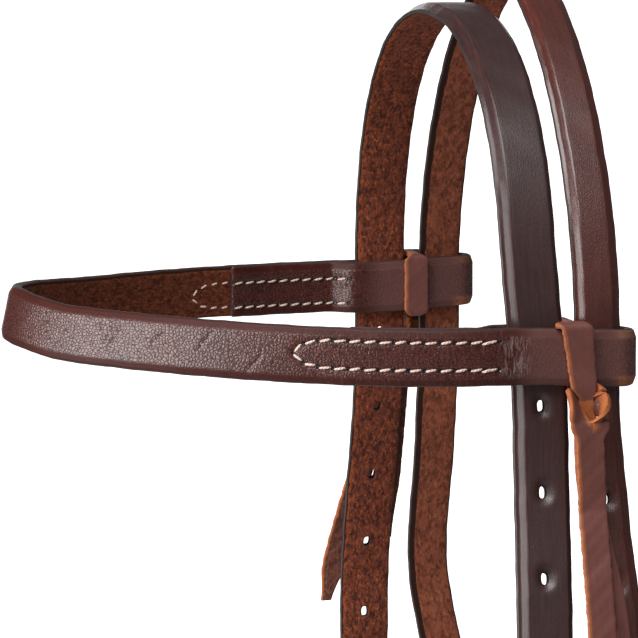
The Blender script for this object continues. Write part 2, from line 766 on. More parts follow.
@dataclass(frozen=True)
class LeatherFinish:
    """Oiled harness leather: pebbled grain, fibrous flesh and burnished edges."""

    name: str
    grain: Colour
    grain_dark: Colour
    grain_light: Colour
    flesh: Colour
    flesh_dark: Colour
    flesh_light: Colour
    edge: Colour
    raw: Colour
    raw_share: float = 0.25
    grain_rough: float = 0.38
    bevel_rough: float = 0.3
    edge_rough: float = 0.6
    gloss: float = 0.5
    pebble: float = 1.0 * MM
    pebble_depth: float = 0.05 * MM
    net: float = 0.7
    draw: Colour = (1.0, 0.8, 1.0)
    speckle: float = 0.3
    streak: float = 0.2
    bevel_inset: float = 3.2 * MM
    flesh_rough: float = 0.85
    flesh_depth: float = 0.07 * MM
    flesh_gloss: float = 0.12
    gathered_pale: Colour = (0.32, 0.25, 0.24)
    loop_dark: Colour = (0.150, 0.066, 0.059)
    rubbed_raw: Colour = (0.52, 0.17, 0.05)
    faded_red: Colour = (0.33, 0.155, 0.085)
    awl_dark: Colour = (0.004, 0.002, 0.002)
    dye_line: float = 0.55 * MM
    bevel_dark: float = 0.2
    bevel_gloss: float = 0.75
    valley_dull: float = 0.0
    mottle_rough: float = 0.06
    bevel_soft: float = 0.3 * MM
    crack: float = 0.12
    bleed: float = 0.6 * MM
    bleed_side: float = 1.0
    bleed_orange: float = 0.0
    raw_wear: bool = False
    stitched: bool = False
    creases: tuple[Crease, ...] = ()

    def pebbles(self, tree: ShaderTree, cut: NodeSocket) -> tuple[Value, Value, Value]:
        """Return the pebbles' domes, the net of valleys between them and the fine pores."""
        drawn = tree.stretched(tree.bent(cut, 0.35 / self.pebble, 0.5 * self.pebble), self.draw)
        reach = tree.cells(drawn, 1.0 / self.pebble)
        pores = tree.cells(drawn, 2.3 / self.pebble).rise(0.25, 0.0)
        return reach.rise(0.0, 0.42), reach.rise(0.17, 0.02), pores

    def seam_marks(self, tree: ShaderTree) -> tuple[Value, Value, Value]:
        """Return masks of the awl holes, of the pressed groove and of the puckered leather by a seam."""
        count, off, zone = tree.parts(tree.vector("seam"))
        near_hole = abs(tree.math("FRACT", count + 0.5) - 0.5)
        spread = tree.math("SQRT", (near_hole * 6.4) ** 2.0 + (off / (0.75 * MM)) ** 2.0)
        holes = spread.rise(1.2, 0.7)
        groove = abs(off).rise(1.7 * MM, 0.3 * MM)
        return holes, groove, zone

    def suede(self, tree: ShaderTree, cut: NodeSocket,
              inset: Value) -> tuple[NodeSocket, Value]:
        """Return the flesh side's colour, with the edge's dye bled in, and its relief from 0 to 1."""
        fibres = tree.stretched(tree.bent(cut, 700.0, 1.2 * MM), (1.0, 0.45, 1.0))
        fibres = tree.noise(fibres, 1150.0, 4.0, 0.7)
        naps = tree.noise(tree.stretched(cut, (1.0, 0.6, 1.0)), 420.0, 4.0, 0.65)
        patches = tree.noise(cut, 60.0, 2.0, 0.5)
        flesh = tree.mix(naps.rise(0.42, 0.62) * 0.6, self.flesh, self.flesh_dark)
        flesh = tree.mix(fibres.rise(0.53, 0.66) * (0.35 + patches * 0.7), flesh, self.flesh_light)
        flesh = tree.mix(fibres.rise(0.47, 0.36) * 0.85, flesh, self.flesh_dark)
        warm = inset.rise(2.6 * MM, 1.4 * MM) * fibres.rise(0.4, 0.55)
        flesh = tree.mix(warm * self.bleed_orange, flesh, self.raw)
        dyed_side = (tree.parts(cut)[0] * self.bleed_side).rise(0.0, 1.0 * MM)
        width = self.dye_line + dyed_side * (self.bleed - self.dye_line)
        dyed = (inset - width + (naps - 0.5) * (1.6 * MM)).rise(0.25 * MM, -0.15 * MM)
        return tree.mix(dyed * 0.95, flesh, self.edge), fibres * 0.7 + naps * 0.3

    def material(self) -> Material:
        """Build the finish as a material."""
        tree = ShaderTree(self.name)
        cut = tree.vector("cut")
        inset, wear, zone = tree.parts(tree.vector("skin"))
        on_grain = zone.rise(0.5, 0.95)
        on_flesh = (-zone).rise(0.6, 0.95)
        bevel = inset.rise(self.bevel_inset + self.bevel_soft, self.bevel_inset - self.bevel_soft)
        domes, net, pores = self.pebbles(tree, cut)
        mottle = tree.noise(cut, 60.0, 4.0, 0.6, 0.4)
        fine = tree.noise(cut, 1900.0, 3.0, 0.7)
        streaks = tree.noise(tree.stretched(cut, (1.0, 0.07, 1.0)), 900.0, 4.0, 0.7, 0.2)
        bends = tree.stretched(tree.bent(cut, 60.0, 9.0 * MM), (0.3, 1.0, 1.0))
        bends = tree.noise(bends, 120.0, 2.0, 0.5, 0.6)
        wrinkles = abs(bends - 0.5).rise(0.02, 0.0) * mottle.rise(0.45, 0.62)
        pebbled = 1.0 - bevel * 0.85

        grain = tree.mix(mottle.rise(0.3, 0.72) * 0.4 + 0.6, self.grain_dark, self.grain)
        grain = tree.mix(bevel * self.bevel_dark, grain, self.grain_dark)
        grain = tree.mix(streaks.rise(0.35, 0.75) * self.streak, grain, self.grain_light)
        grain = tree.mix(fine.rise(0.55, 0.75) * self.speckle, grain, self.grain_light)
        grain = tree.mix((net * self.net + pores * 0.2) * pebbled, grain, self.grain_dark)
        grain = tree.mix(wrinkles * self.crack, grain, self.grain_dark)
        relief = (domes * self.pebble_depth - pores * (self.pebble_depth * 0.3)) * pebbled
        relief = relief + fine * (0.01 * MM) - wrinkles * (self.crack * 0.1 * MM)
        relief = relief + streaks * bevel * (0.05 * MM)
        rough = self.grain_rough + (mottle - 0.5) * self.mottle_rough + (fine - 0.5) * 0.12
        rough = rough + net * (0.2 * self.net)
        rough = rough * (1.0 - bevel) + (self.bevel_rough + (streaks - 0.5) * 0.5) * bevel

        flesh, nap = self.suede(tree, cut, inset)
        bands = tree.noise(tree.stretched(cut, (1.0, 0.06, 2.2)), 900.0, 3.0, 0.6)
        chips = tree.noise(cut, 420.0, 4.0, 0.7, 0.6)
        edge = tree.mix(bands.rise(0.4, 0.75) * 0.35, self.edge, self.grain)
        bare = chips.rise(0.66 - 0.4 * self.raw_share, 0.8 - 0.4 * self.raw_share)
        edge = tree.mix(bare * self.raw_share, edge, self.raw)
        worn = (wear + (chips - 0.5) * 0.35).rise(0.6, 0.9)
        if self.raw_wear:
            ragged = inset.rise(1.5 * MM, 0.9 * MM) * tree.parts(cut)[0].rise(0.0, -1.0 * MM)
            grain = tree.mix(ragged * (0.5 + chips.rise(0.35, 0.6) * 0.45), grain, self.edge)
            grain = tree.mix(worn * chips.rise(0.3, 0.5), grain, self.raw)
            flesh = tree.mix(worn * 0.8, flesh, self.raw)
            edge = tree.mix(worn, edge, self.raw)
        else:
            grain = tree.mix(worn * 0.75, grain, self.grain_dark)
            edge = tree.mix(worn, edge, self.grain_dark)
        if self.stitched:
            grain, relief, rough = self.sewn(tree, cut, grain, relief, rough, chips)

        rough = rough * on_grain + (bands * 0.25 + self.edge_rough - 0.12 + worn * 0.3) * (1.0 - on_grain)
        height = relief * on_grain + on_flesh * nap * self.flesh_depth
        height = height + (1.0 - on_grain) * (1.0 - on_flesh) * bands * (0.05 * MM)
        tree.shader.inputs["Specular IOR Level"].default_value = self.gloss
        tree.dress(tree.mix(on_grain, edge, grain), rough, height)
        if self.bevel_gloss < self.gloss:
            dulled = (bevel + net * self.valley_dull * (1.0 - bevel)) * on_grain
            tree.backed(dulled, grain, self.bevel_rough, self.bevel_gloss)
        return tree.backed(on_flesh, flesh, self.flesh_rough, self.flesh_gloss)

    def sewn(self, tree: ShaderTree, cut: NodeSocket, grain: NodeSocket, relief: Value,
             rough: Value, chips: Value) -> tuple[NodeSocket, Value, Value]:
        """Add the marks of sewing and the rubbed ends of the loops.

        Args:
            tree: The material's tree.
            cut: The flat place.
            grain: The grain's colour so far.
            relief: The grain's relief so far.
            rough: The grain's roughness so far.
            chips: A noise that breaks up rubbed places.

        Returns:
            The colour, the relief and the roughness with the marks added.
        """
        holes, groove, pucker = self.seam_marks(tree)
        from_end, across, gathered = tree.parts(tree.vector("loop"))
        folds = tree.stretched(tree.bent(cut, 300.0, 1.4 * MM), (0.14, 1.0, 1.0))
        folds = tree.noise(folds, 1250.0, 3.0, 0.6, 0.6)
        grain = tree.mix(pucker * folds.rise(0.52, 0.72) * 0.3, grain, self.grain_light)
        gathered = gathered * (1.0 - abs(across).rise(5.5 * MM, 7.5 * MM))
        grain = tree.mix(gathered * folds.rise(0.46, 0.62) * 0.45, grain, self.gathered_pale)
        grain = tree.mix(groove * 0.45, grain, self.grain_dark)
        grain = tree.mix(from_end.rise(46.0 * MM, 34.0 * MM) * 0.6, grain, self.loop_dark)
        corner = from_end.rise(11.0 * MM, 2.0 * MM)
        rubbed = corner * across.rise(-5.0 * MM, -6.8 * MM) * chips.rise(0.36, 0.46)
        grain = tree.mix(rubbed, grain, self.rubbed_raw)
        faded = corner * across.rise(6.0 * MM, 7.4 * MM) * chips.rise(0.3, 0.55)
        grain = tree.mix(faded * 0.75, grain, self.faded_red)
        grain = tree.mix(holes * 0.95, grain, self.awl_dark)
        relief = relief + (pucker * 0.14 + gathered * 0.35) * (folds - 0.5) * MM
        relief = relief - groove * (0.1 * MM) - holes * (0.4 * MM)
        wobble = (tree.noise(cut, 380.0, 3.0, 0.6) - 0.5) * (2.2 * MM)
        for crease in self.creases:
            fold, hollow = crease.masks(from_end + wobble, across)
            grain = tree.mix(fold * 0.35, grain, self.grain_dark)
            relief = relief - fold * (0.05 * MM) - hollow * (0.16 * MM)
        return grain, relief, rough - gathered * 0.1


@dataclass(frozen=True)
class ThreadFinish:
    """Waxed cream thread, laid up in three strands."""

    name: str = "waxed_thread"
    pale: Colour = (0.80, 0.60, 0.51)
    dull: Colour = (0.48, 0.29, 0.23)

    def material(self) -> Material:
        """Build the finish as a material."""
        tree = ShaderTree(self.name)
        cut = tree.vector("cut")
        across, along, through = tree.parts(cut)
        twist = tree.math("SINE", (along + across * 0.9 + through * 0.9) * (math.tau / (1.15 * MM)))
        strands = tree.math("SINE", (along * 0.35 + across - through) * (math.tau / (0.22 * MM)))
        grime = tree.noise(cut, 900.0, 3.0, 0.6)
        colour = tree.mix(grime.rise(0.45, 0.7) * 0.5, self.pale, self.dull)
        colour = tree.mix(twist.rise(-0.4, -1.0) * 0.55, colour, self.dull)
        return tree.dress(colour, 0.62 + grime * 0.2, twist * (0.05 * MM) + strands * (0.012 * MM))


@dataclass(frozen=True)
class SteelFinish:
    """Stainless steel, tumbled bright, with fine rubbing marks."""

    name: str = "stainless_wire"
    bright: Colour = (0.66, 0.65, 0.63)
    dim: Colour = (0.42, 0.40, 0.38)
    rough: float = 0.2

    def material(self) -> Material:
        """Build the finish as a material."""
        tree = ShaderTree(self.name)
        place = tree.node("ShaderNodeTexCoord").outputs["Object"]
        rubs = tree.noise(tree.stretched(place, (1.0, 0.12, 1.0)), 2600.0, 3.0, 0.7)
        haze = tree.noise(place, 160.0, 4.0, 0.6)
        pits = tree.cells(place, 900.0, "F1").rise(0.12, 0.05)
        colour = tree.mix(haze.rise(0.4, 0.75) * 0.6, self.bright, self.dim)
        colour = tree.mix(pits * 0.5, colour, self.dim)
        tree.shader.inputs["Metallic"].default_value = 1.0
        rough = self.rough + haze * 0.16 + rubs * 0.1
        return tree.dress(colour, rough, rubs * (0.006 * MM) - pits * (0.015 * MM))


@dataclass(frozen=True)
class Wander:
    """The slight unevenness of a strap that hangs free."""

    across: float = 0.12 * MM
    through: float = 0.16 * MM
    wavelength: float = 46.0 * MM
    seed: float = 0.0

    def __call__(self, flat: np.ndarray) -> np.ndarray:
        """Shape flat places."""
        moved = flat.copy()
        edge = np.sign(flat[:, 0])
        moved[:, 0] += self.across * ripple(flat[:, 1], self.wavelength * 0.4, self.seed + edge)
        moved[:, 2] += self.through * ripple(flat[:, 1] + flat[:, 0] * 0.8, self.wavelength, self.seed + 2.0)
        return moved


@dataclass(frozen=True)
class HoleSink:
    """How the leather is drawn in round its punched holes."""

    punches: tuple[Punch, ...]
    depth: float = 1.2 * MM
    reach: float = 1.5 * MM
    small: float = 1.3 * MM

    def __call__(self, flat: np.ndarray) -> np.ndarray:
        """Shape flat places."""
        moved = flat.copy()
        for hole in self.punches:
            beyond = np.maximum(hole.beyond(flat[:, 0], flat[:, 1]), 0.0)
            depth = self.depth * min(1.0, self.small / hole.half_across)
            drawn = depth * np.exp(-((beyond / self.reach) ** 2))
            moved[:, 2] -= np.where(flat[:, 2] > 0, drawn, drawn * 0.25)
        return moved


@dataclass(frozen=True)
class LoopSeam:
    """The stitched line of a browband loop: two rows that meet in a pointed U.

    Distances are measured from the loop's folded end.
    """

    start: float = 48.5 * MM
    tip: float = 115.4 * MM
    half_gap: float = 4.55 * MM
    near_lift: float = 0.7 * MM
    far_lift: float = -1.3 * MM
    nose: float = 12.2 * MM
    pitch: float = 4.9 * MM
    margin: float = 12.0 * MM
    far_off: float = 30.0 * MM

    def line(self) -> np.ndarray:
        """Return (across, distance) rows from the upper row's start, round the tip, to the lower's."""
        straight = self.tip - self.nose
        row = spaced(self.start, straight, 0.2 * MM)
        turn = np.linspace(math.pi / 2, -math.pi / 2, 161)
        curve = columns(self.half_gap * np.sin(turn), straight + self.nose * np.cos(turn))
        upper = columns(self.half_gap, row)
        lower = upper[::-1] * np.array([-1.0, 1.0])
        return np.concatenate([upper[:-1], curve, lower[1:]])

    def marks(self) -> tuple[np.ndarray, np.ndarray, int]:
        """Return the line, the length at each of its rows and the number of stitches on it."""
        line = self.line()
        lengths = measured(line)
        return line, lengths, round(lengths[-1] / self.pitch)

    def read(self, across: np.ndarray, distance: np.ndarray) -> np.ndarray:
        """Describe places by the seam.

        Args:
            across: Places across the strap.
            distance: Their distances from the loop's end.

        Returns:
            Rows of stitch count, distance off the line and how puckered the leather is.
        """
        line, lengths, count = self.marks()
        rows = np.tile((0.0, self.far_off, 0.0), (len(across), 1))
        close = np.flatnonzero((distance > self.start - self.margin) & (distance < self.tip + self.margin))
        for part in np.array_split(close, max(1, len(close) // 2000)):
            spots = columns(across[part], distance[part])
            gaps = np.linalg.norm(spots[:, None] - line[None], axis=2)
            best = gaps.argmin(axis=1)
            rows[part, 0] = lengths[best] / lengths[-1] * count
            rows[part, 1] = gaps[np.arange(len(part)), best]
        puckered = ease((distance - self.start + 9.0 * MM) / (9.0 * MM))
        rows[:, 2] = puckered * ease((self.tip + 4.0 * MM - distance) / (14.0 * MM))
        return rows


@dataclass(frozen=True)
class Stitch:
    """One stitch on a flat strap: where it lies, how it is turned and on which face."""

    across: float
    along: float
    height: float
    turn: float
    length: float
    face: Face
    thick: float = 0.62 * MM


class Thread:
    """Stitches of waxed thread, laid on a flat strap and bent with it."""

    rings = 5
    sides = 7

    def template(self) -> Mesh:
        """Make one stitch, 1 long and 1 in radius, plump in the middle and drawn down at its ends."""
        shape = bmesh.new()
        bmesh.ops.create_cone(shape, cap_ends=True, segments=self.sides, radius1=1.0, radius2=1.0, depth=1.0)
        long_edges = [edge for edge in shape.edges if abs(edge.verts[0].co.z - edge.verts[1].co.z) > 0.5]
        bmesh.ops.subdivide_edges(shape, edges=long_edges, cuts=self.rings, use_grid_fill=True)
        lie_down = Matrix.Rotation(-math.pi / 2, 3, "X")
        bmesh.ops.rotate(shape, cent=(0, 0, 0), matrix=lie_down, verts=shape.verts)
        for vert in shape.verts:
            share = abs(vert.co.y) * 2.0
            plump = math.sqrt(max(1.0 - 0.9 * share**2.4, 0.05))
            vert.co.x *= plump
            vert.co.z = vert.co.z * plump * 0.7 - 1.1 * share**3.0
        return finished(shape, "stitch")

    def build(self, name: str, route: Route, stitches: Sequence[Stitch], look: Material,
              body: str) -> Object:
        """Lay stitches on a strap.

        Args:
            name: The piece's name.
            route: The strap's route.
            stitches: The stitches, in the strap's flat places.
            look: The thread's material.
            body: The body that it rides on.

        Returns:
            The thread, as one piece.
        """
        template = self.template()
        seam = bmesh.new()
        laid = []
        for stitch in stitches:
            first = len(seam.verts)
            seam.from_mesh(template)
            seam.verts.ensure_lookup_table()
            new = seam.verts[first:]
            size = Vector((stitch.thick, stitch.length, stitch.thick * stitch.face.value))
            laid += [(vert.co.x * size.x, vert.co.y * size.y + stitch.along, vert.co.z * size.z)
                     for vert in new]
            spot = Vector((stitch.across, stitch.along, stitch.height))
            bmesh.ops.scale(seam, vec=size, verts=new)
            bmesh.ops.rotate(seam, cent=(0, 0, 0), matrix=Matrix.Rotation(stitch.turn, 3, "Z"), verts=new)
            bmesh.ops.translate(seam, vec=spot, verts=new)
        mesh = finished(seam, name)
        bpy.data.meshes.remove(template)
        write_vectors(mesh, "cut", np.array(laid))
        write_places(mesh, route.place(read_places(mesh)))
        smooth = bmesh.new()
        smooth.from_mesh(mesh)
        bmesh.ops.recalc_face_normals(smooth, faces=smooth.faces)
        smooth.to_mesh(mesh)
        smooth.free()
        return add_piece(mesh, look, body, sharp=80.0)


@dataclass
class Looks:
    """The finishes of the headstall, each built once."""

    band: Material
    crown: Material
    throat: Material
    lace: Material
    thread: Material
    steel: Material

    @classmethod
    def mixed(cls) -> "Looks":
        """Mix the finishes of the photographed leather."""
        band = LeatherFinish(
            name="pebbled_bridle_leather", grain=(0.100, 0.018, 0.011), grain_dark=(0.024, 0.0055, 0.0045),
            grain_light=(0.17, 0.062, 0.050), flesh=(0.160, 0.042, 0.0205), flesh_dark=(0.026, 0.008, 0.006),
            flesh_light=(0.32, 0.090, 0.026), edge=(0.022, 0.0085, 0.007), raw=(0.34, 0.10, 0.032),
            raw_share=0.2, grain_rough=0.28, bevel_rough=0.45, gloss=0.9, bevel_gloss=0.2, valley_dull=0.85,
            pebble_depth=0.06 * MM, net=0.9, stitched=True, streak=0.03, bevel_inset=2.7 * MM,
            bevel_soft=0.6 * MM, crack=0.25, bevel_dark=0.6, bleed=1.3 * MM, bleed_orange=0.3, creases=(
                Crease((179.5 * MM, 7.0 * MM), (183.5 * MM, -1.7 * MM)),
                Crease((176.4 * MM, 5.9 * MM), (182.7 * MM, -4.1 * MM), 0.4 * MM),
                Crease((183.6 * MM, 5.5 * MM), (186.6 * MM, 4.0 * MM), 0.6 * MM),
                Crease((160.1 * MM, 4.6 * MM), (165.3 * MM, -0.3 * MM), 0.25 * MM),
                Crease((142.1 * MM, 7.6 * MM), (148.1 * MM, -0.8 * MM), 0.25 * MM),
                Crease((125.6 * MM, -0.5 * MM), (131.6 * MM, -7.1 * MM), 0.25 * MM)))
        crown = LeatherFinish(
            name="dark_oiled_harness_leather", grain=(0.050, 0.0205, 0.0195),
            grain_dark=(0.018, 0.0075, 0.007), grain_light=(0.085, 0.048, 0.046),
            flesh=(0.165, 0.043, 0.024), flesh_dark=(0.026, 0.009, 0.0075), flesh_light=(0.44, 0.115, 0.036),
            edge=(0.008, 0.0045, 0.0043), raw=(0.30, 0.070, 0.02), raw_share=0.12, bevel_rough=0.26,
            gloss=0.75, bevel_gloss=0.42, pebble=0.8 * MM, pebble_depth=0.02 * MM, net=0.25,
            draw=(1.0, 0.5, 1.0), speckle=0.12, streak=0.35, bevel_inset=4.0 * MM, bleed=0.9 * MM,
            bleed_orange=0.75)
        throat = LeatherFinish(
            name="chestnut_stippled_leather", grain=(0.098, 0.019, 0.013), grain_dark=(0.030, 0.0085, 0.0065),
            grain_light=(0.20, 0.075, 0.060), flesh=(0.240, 0.070, 0.039), flesh_dark=(0.070, 0.020, 0.012),
            flesh_light=(0.38, 0.12, 0.045), edge=(0.012, 0.006, 0.005), raw=(0.30, 0.09, 0.035),
            raw_share=0.18, grain_rough=0.36, bevel_rough=0.26, gloss=0.75, pebble=0.7 * MM,
            pebble_depth=0.035 * MM, net=0.35, speckle=0.35, bevel_inset=3.5 * MM, bleed=2.4 * MM,
            bleed_side=-1.0)
        lace = LeatherFinish(
            name="latigo", grain=(0.185, 0.064, 0.053), grain_dark=(0.085, 0.0265, 0.021),
            grain_light=(0.24, 0.100, 0.084), flesh=(0.155, 0.056, 0.040), flesh_dark=(0.060, 0.020, 0.014),
            flesh_light=(0.30, 0.115, 0.075), edge=(0.30, 0.088, 0.030), raw=(0.42, 0.125, 0.038),
            raw_share=0.6, grain_rough=0.5, bevel_rough=0.5, edge_rough=0.85, gloss=0.35, pebble=0.6 * MM,
            pebble_depth=0.014 * MM, net=0.3, speckle=0.25, flesh_rough=0.7, flesh_depth=0.05 * MM,
            bevel_inset=0.7 * MM, bevel_dark=0.0, bleed=0.0, raw_wear=True)
        return cls(band.material(), crown.material(), throat.material(), lace.material(),
                   ThreadFinish().material(), SteelFinish().material())


@dataclass
class Browband:
    """The browband: one strap whose two ends turn in round both head straps and are sewn down."""

    pattern: Pattern
    depth: float = 191.7 * MM
    straight: float = 47.0 * MM
    side_pull: float = 66.2 * MM
    front_pull: float = 36.4 * MM
    front_rise: float = 3.3 * MM
    front_tilt: float = math.radians(12.2)
    ramp_start: float = 0.25
    tail_thick: float = 3.2 * MM
    tail_tip_thick: float = 2.2 * MM
    tail_reach: float = 97.8 * MM
    tail_clear: float = 1.0 * MM
    pinch: float = 9.0 * MM
    sample: float = 1.0 * MM
    nose_lift: float = 2.8 * MM
    nose_reach: float = 38.0 * MM
    far_nose_reach: float = 76.0 * MM
    slant: float = math.radians(10.0)
    stitch_shift: float = 0.35 * MM
    stitch_gap: float = 0.8 * MM
    thread_half: float = 0.44 * MM
    thread_lift: float = 0.05 * MM
    lock_step: float = 1.9 * MM
    back_gap: float = 1.3 * MM
    back_thread_half: float = 0.4 * MM
    gather_start: float = 37.0 * MM
    gather_end: float = 50.0 * MM
    groove_depth: float = 0.28 * MM
    groove_reach: float = 1.1 * MM
    hollow_depth: float = 0.35 * MM
    hollow_reach: float = 2.6 * MM
    fold_rows: int = 30
    seam: LoopSeam = LoopSeam()
    body: str = "browband_unit"

    def plan(self) -> tuple[np.ndarray, np.ndarray]:
        """Return the outer layer's plan points from a loop's end to the front, and their lengths."""
        start = np.array([self.pattern.half_span, -self.straight])
        handle_one = start + np.array([0.0, -self.side_pull])
        end = np.array([0.0, -self.depth])
        handle_two = end + np.array([self.front_pull, 0.0])
        share = np.linspace(0.0, 1.0, 401)[:, None]
        rest = 1.0 - share
        curve = start * rest**3 + handle_one * 3 * share * rest**2 + handle_two * 3 * share**2 * rest
        points = np.concatenate([[[self.pattern.half_span, 0.0]], curve + end * share**3])
        return points, measured(points)

    def outer(self, distance: np.ndarray) -> tuple[np.ndarray, np.ndarray, np.ndarray]:
        """Return centres, width directions and outward directions of the outer layer."""
        points, lengths = self.plan()
        half = float(lengths[-1])
        reach = half / 200
        before, here, after = (read_line(distance + step, lengths, points) for step in (-reach, 0.0, reach))
        run = after - before
        run /= np.linalg.norm(run, axis=1)[:, None]
        out = columns(-run[:, 1], run[:, 0], 0.0)
        ramp = ease((distance / half - self.ramp_start) / (1.0 - self.ramp_start))
        tilt = (self.front_tilt * ramp)[:, None]
        up = UP * np.cos(tilt) - out * np.sin(tilt)
        face = out * np.cos(tilt) + UP * np.sin(tilt)
        return columns(*here.T, self.front_rise * ramp), up, face

    def near_half(self) -> tuple[np.ndarray, np.ndarray, np.ndarray, np.ndarray]:
        """Return centres, width directions, thicknesses and distances from the tail's end to the front."""
        pattern = self.pattern
        radius = pattern.fold_radius
        turn_y = -(radius + pattern.band_thick / 2)
        pinch_start = pattern.crown_from_fold + pattern.crown_width / 2 + 2 * pattern.touch
        tail = spaced(self.tail_reach, pinch_start, self.sample)
        centre, up, face = self.outer(tail)
        thinning = self.tail_reach - pinch_start - self.pinch
        past = np.clip((tail - pinch_start - self.pinch) / thinning, 0.0, 1.0)
        thick = blend(pattern.band_thick, self.tail_thick, (tail - pinch_start) / self.pinch)
        thick = thick - (self.tail_thick - self.tail_tip_thick) * past
        closed = pattern.band_thick / 2 + pattern.touch / 2 + thick / 2
        gap = 2 * radius + (closed - 2 * radius) * ease((tail - pinch_start) / self.pinch)
        tail_centre = centre - face * gap[:, None]
        inner = spaced(tail_centre[-1, 1], turn_y, self.sample)[1:-1]
        inner_centre = columns(pattern.half_span - 2 * radius, inner, 0.0)
        turn = -math.pi + math.pi * np.linspace(0.0, 1.0, 29)
        fold = columns(pattern.half_span - radius + radius * np.cos(turn),
                       turn_y - radius * np.sin(turn), 0.0)
        outer = spaced(-turn_y, float(self.plan()[1][-1]), self.sample)[1:]
        outer_centre, outer_up, _outer_face = self.outer(outer)
        middle = len(inner) + len(turn)
        centres = np.concatenate([tail_centre, inner_centre, fold, outer_centre])
        ups = np.concatenate([up, np.tile(UP, (middle, 1)), outer_up])
        thicks = np.concatenate([thick, np.full(middle + len(outer), pattern.band_thick)])
        distances = np.concatenate([tail, -inner, np.full(len(turn), -turn_y), outer])
        return centres, ups, thicks, distances

    def route(self) -> tuple[Route, np.ndarray]:
        """Return the whole band's route and the distance from its loop's end at every sample."""
        whole, sides, thick, distances = (
            np.concatenate([near, (near * flip)[-2::-1]])
            for near, flip in zip(self.near_half(), (MIRROR, MIRROR, 1.0, 1.0)))
        whole[:, 2] += self.pattern.loop_dip(whole[:, 0], whole[:, 1])
        reach = np.where(whole[:, 0] > 0.0, self.nose_reach, self.far_nose_reach)
        whole[:, 2] += self.nose_lift * (1.0 - ease((distances.max() - distances) / reach))
        return Route(whole + self.pattern.origin, sides, self.pattern.band_width, thick), distances

    def stitches(self, route: Route, distances: np.ndarray, side: Side) -> list[Stitch]:
        """Lay one loop's stitches: on the band's outer face and on its inner side."""
        line, lengths, count = self.seam.marks()
        middle = len(distances) // 2
        fold = int(np.argmin(distances[:middle]))
        outer_part = slice(fold + self.fold_rows, middle)
        inner_part = slice(0, fold)
        found = []
        reverse = side is Side.FAR
        sign = -1.0 if reverse else 1.0
        surface = self.pattern.band_thick / 2

        def along(distance: float, part: slice) -> float:
            """Return the place along the band at a distance from the loop's end."""
            order = np.argsort(distances[part])
            place = float(np.interp(distance, distances[part][order], route.lengths[part][order]))
            return route.length - place if reverse else place

        for index in range(count):
            ends = read_line(np.array([index, index + 1]) / count * lengths[-1], lengths, line)
            across, distance = (ends[0] + ends[1]) / 2
            run = ends[1] - ends[0]
            size = float(np.linalg.norm(run))
            heading = math.atan2(-run[0], run[1])
            heading -= math.pi * round(heading / math.pi)
            place = along(distance, outer_part)
            uneven = float(ripple(np.array(distance), 13.0 * MM, 3.0 + across / MM))
            across = across + (self.seam.far_lift if reverse else self.seam.near_lift)
            found.append(Stitch(across + 0.1 * MM * uneven, place + self.stitch_shift * sign,
                                surface + self.thread_lift,
                                sign * (heading + self.slant * (1.0 + 0.35 * uneven)),
                                size - self.stitch_gap - 0.2 * MM * uneven, Face.GRAIN,
                                self.thread_half + 0.04 * MM * uneven))
            if index in (0, count - 1):
                found.append(Stitch(across - 0.25 * MM, place + self.lock_step * sign, surface + 0.2 * MM,
                                    sign * (heading + self.slant * 1.6), size * 0.7, Face.GRAIN, 0.48 * MM))
            if distance < self.tail_reach - self.tail_clear:
                back = along(distance, inner_part)
                level = float(np.interp(back, route.lengths, route.thicks)) / 2
                found.append(Stitch(across, back, level + self.thread_lift, -sign * (heading + self.slant),
                                    size - self.back_gap, Face.GRAIN, self.back_thread_half))
            elif distance > self.tail_reach + self.tail_clear:
                found.append(Stitch(across, place, -surface - self.thread_lift,
                                    sign * (heading + self.slant), size - self.back_gap, Face.FLESH,
                                    self.back_thread_half))
        return found

    def seam_rows(self, route: Route, distances: np.ndarray, flat: np.ndarray) -> np.ndarray:
        """Describe flat places by the seam of their own side."""
        lift = np.where(flat[:, 1] < route.length / 2, self.seam.near_lift, self.seam.far_lift)
        return self.seam.read(flat[:, 0] - lift, route.read(distances, flat[:, 1]))

    def pull_in(self, route: Route, distances: np.ndarray) -> Shape:
        """Return the shape of the leather drawn in along its seams and hollowed between them."""

        def shape(flat: np.ndarray) -> np.ndarray:
            """Shape flat places."""
            marks = self.seam_rows(route, distances, flat)
            near_hole = np.abs((marks[:, 0] + 0.5) % 1.0 - 0.5)
            depth = self.groove_depth * np.exp(-((marks[:, 1] / self.groove_reach) ** 2)) * (1.0 - near_hole)
            moved = flat.copy()
            tail = (flat[:, 1] < self.tail_reach) | (flat[:, 1] > route.length - self.tail_reach)
            hollow = np.exp(-((flat[:, 0] / self.hollow_reach) ** 2)) * marks[:, 2]
            hollow = hollow * np.where(tail, self.hollow_depth, 0.0)
            moved[:, 2] -= np.where(flat[:, 2] > 0, depth + hollow, 0.0)
            return moved

        return shape

    def build(self, looks: Looks) -> None:
        """Build the band and the thread of its two loops."""
        route, distances = self.route()
        section = Section(self.pattern.band_width, self.pattern.band_thick)

        def seam(flat: np.ndarray) -> np.ndarray:
            """Describe flat places by the seam, for the finish."""
            return self.seam_rows(route, distances, flat)

        def loop(flat: np.ndarray) -> np.ndarray:
            """Return distance from the loop's end, place across and how gathered the grain is."""
            distance = route.read(distances, flat[:, 1])
            outer = np.abs(flat[:, 1] - route.length / 2) < route.length / 2 - self.tail_reach
            gathered = ease((distance - self.gather_start) / (3.0 * MM))
            gathered = gathered * ease((self.gather_end - distance) / (6.0 * MM))
            return columns(distance, flat[:, 0], gathered * outer)

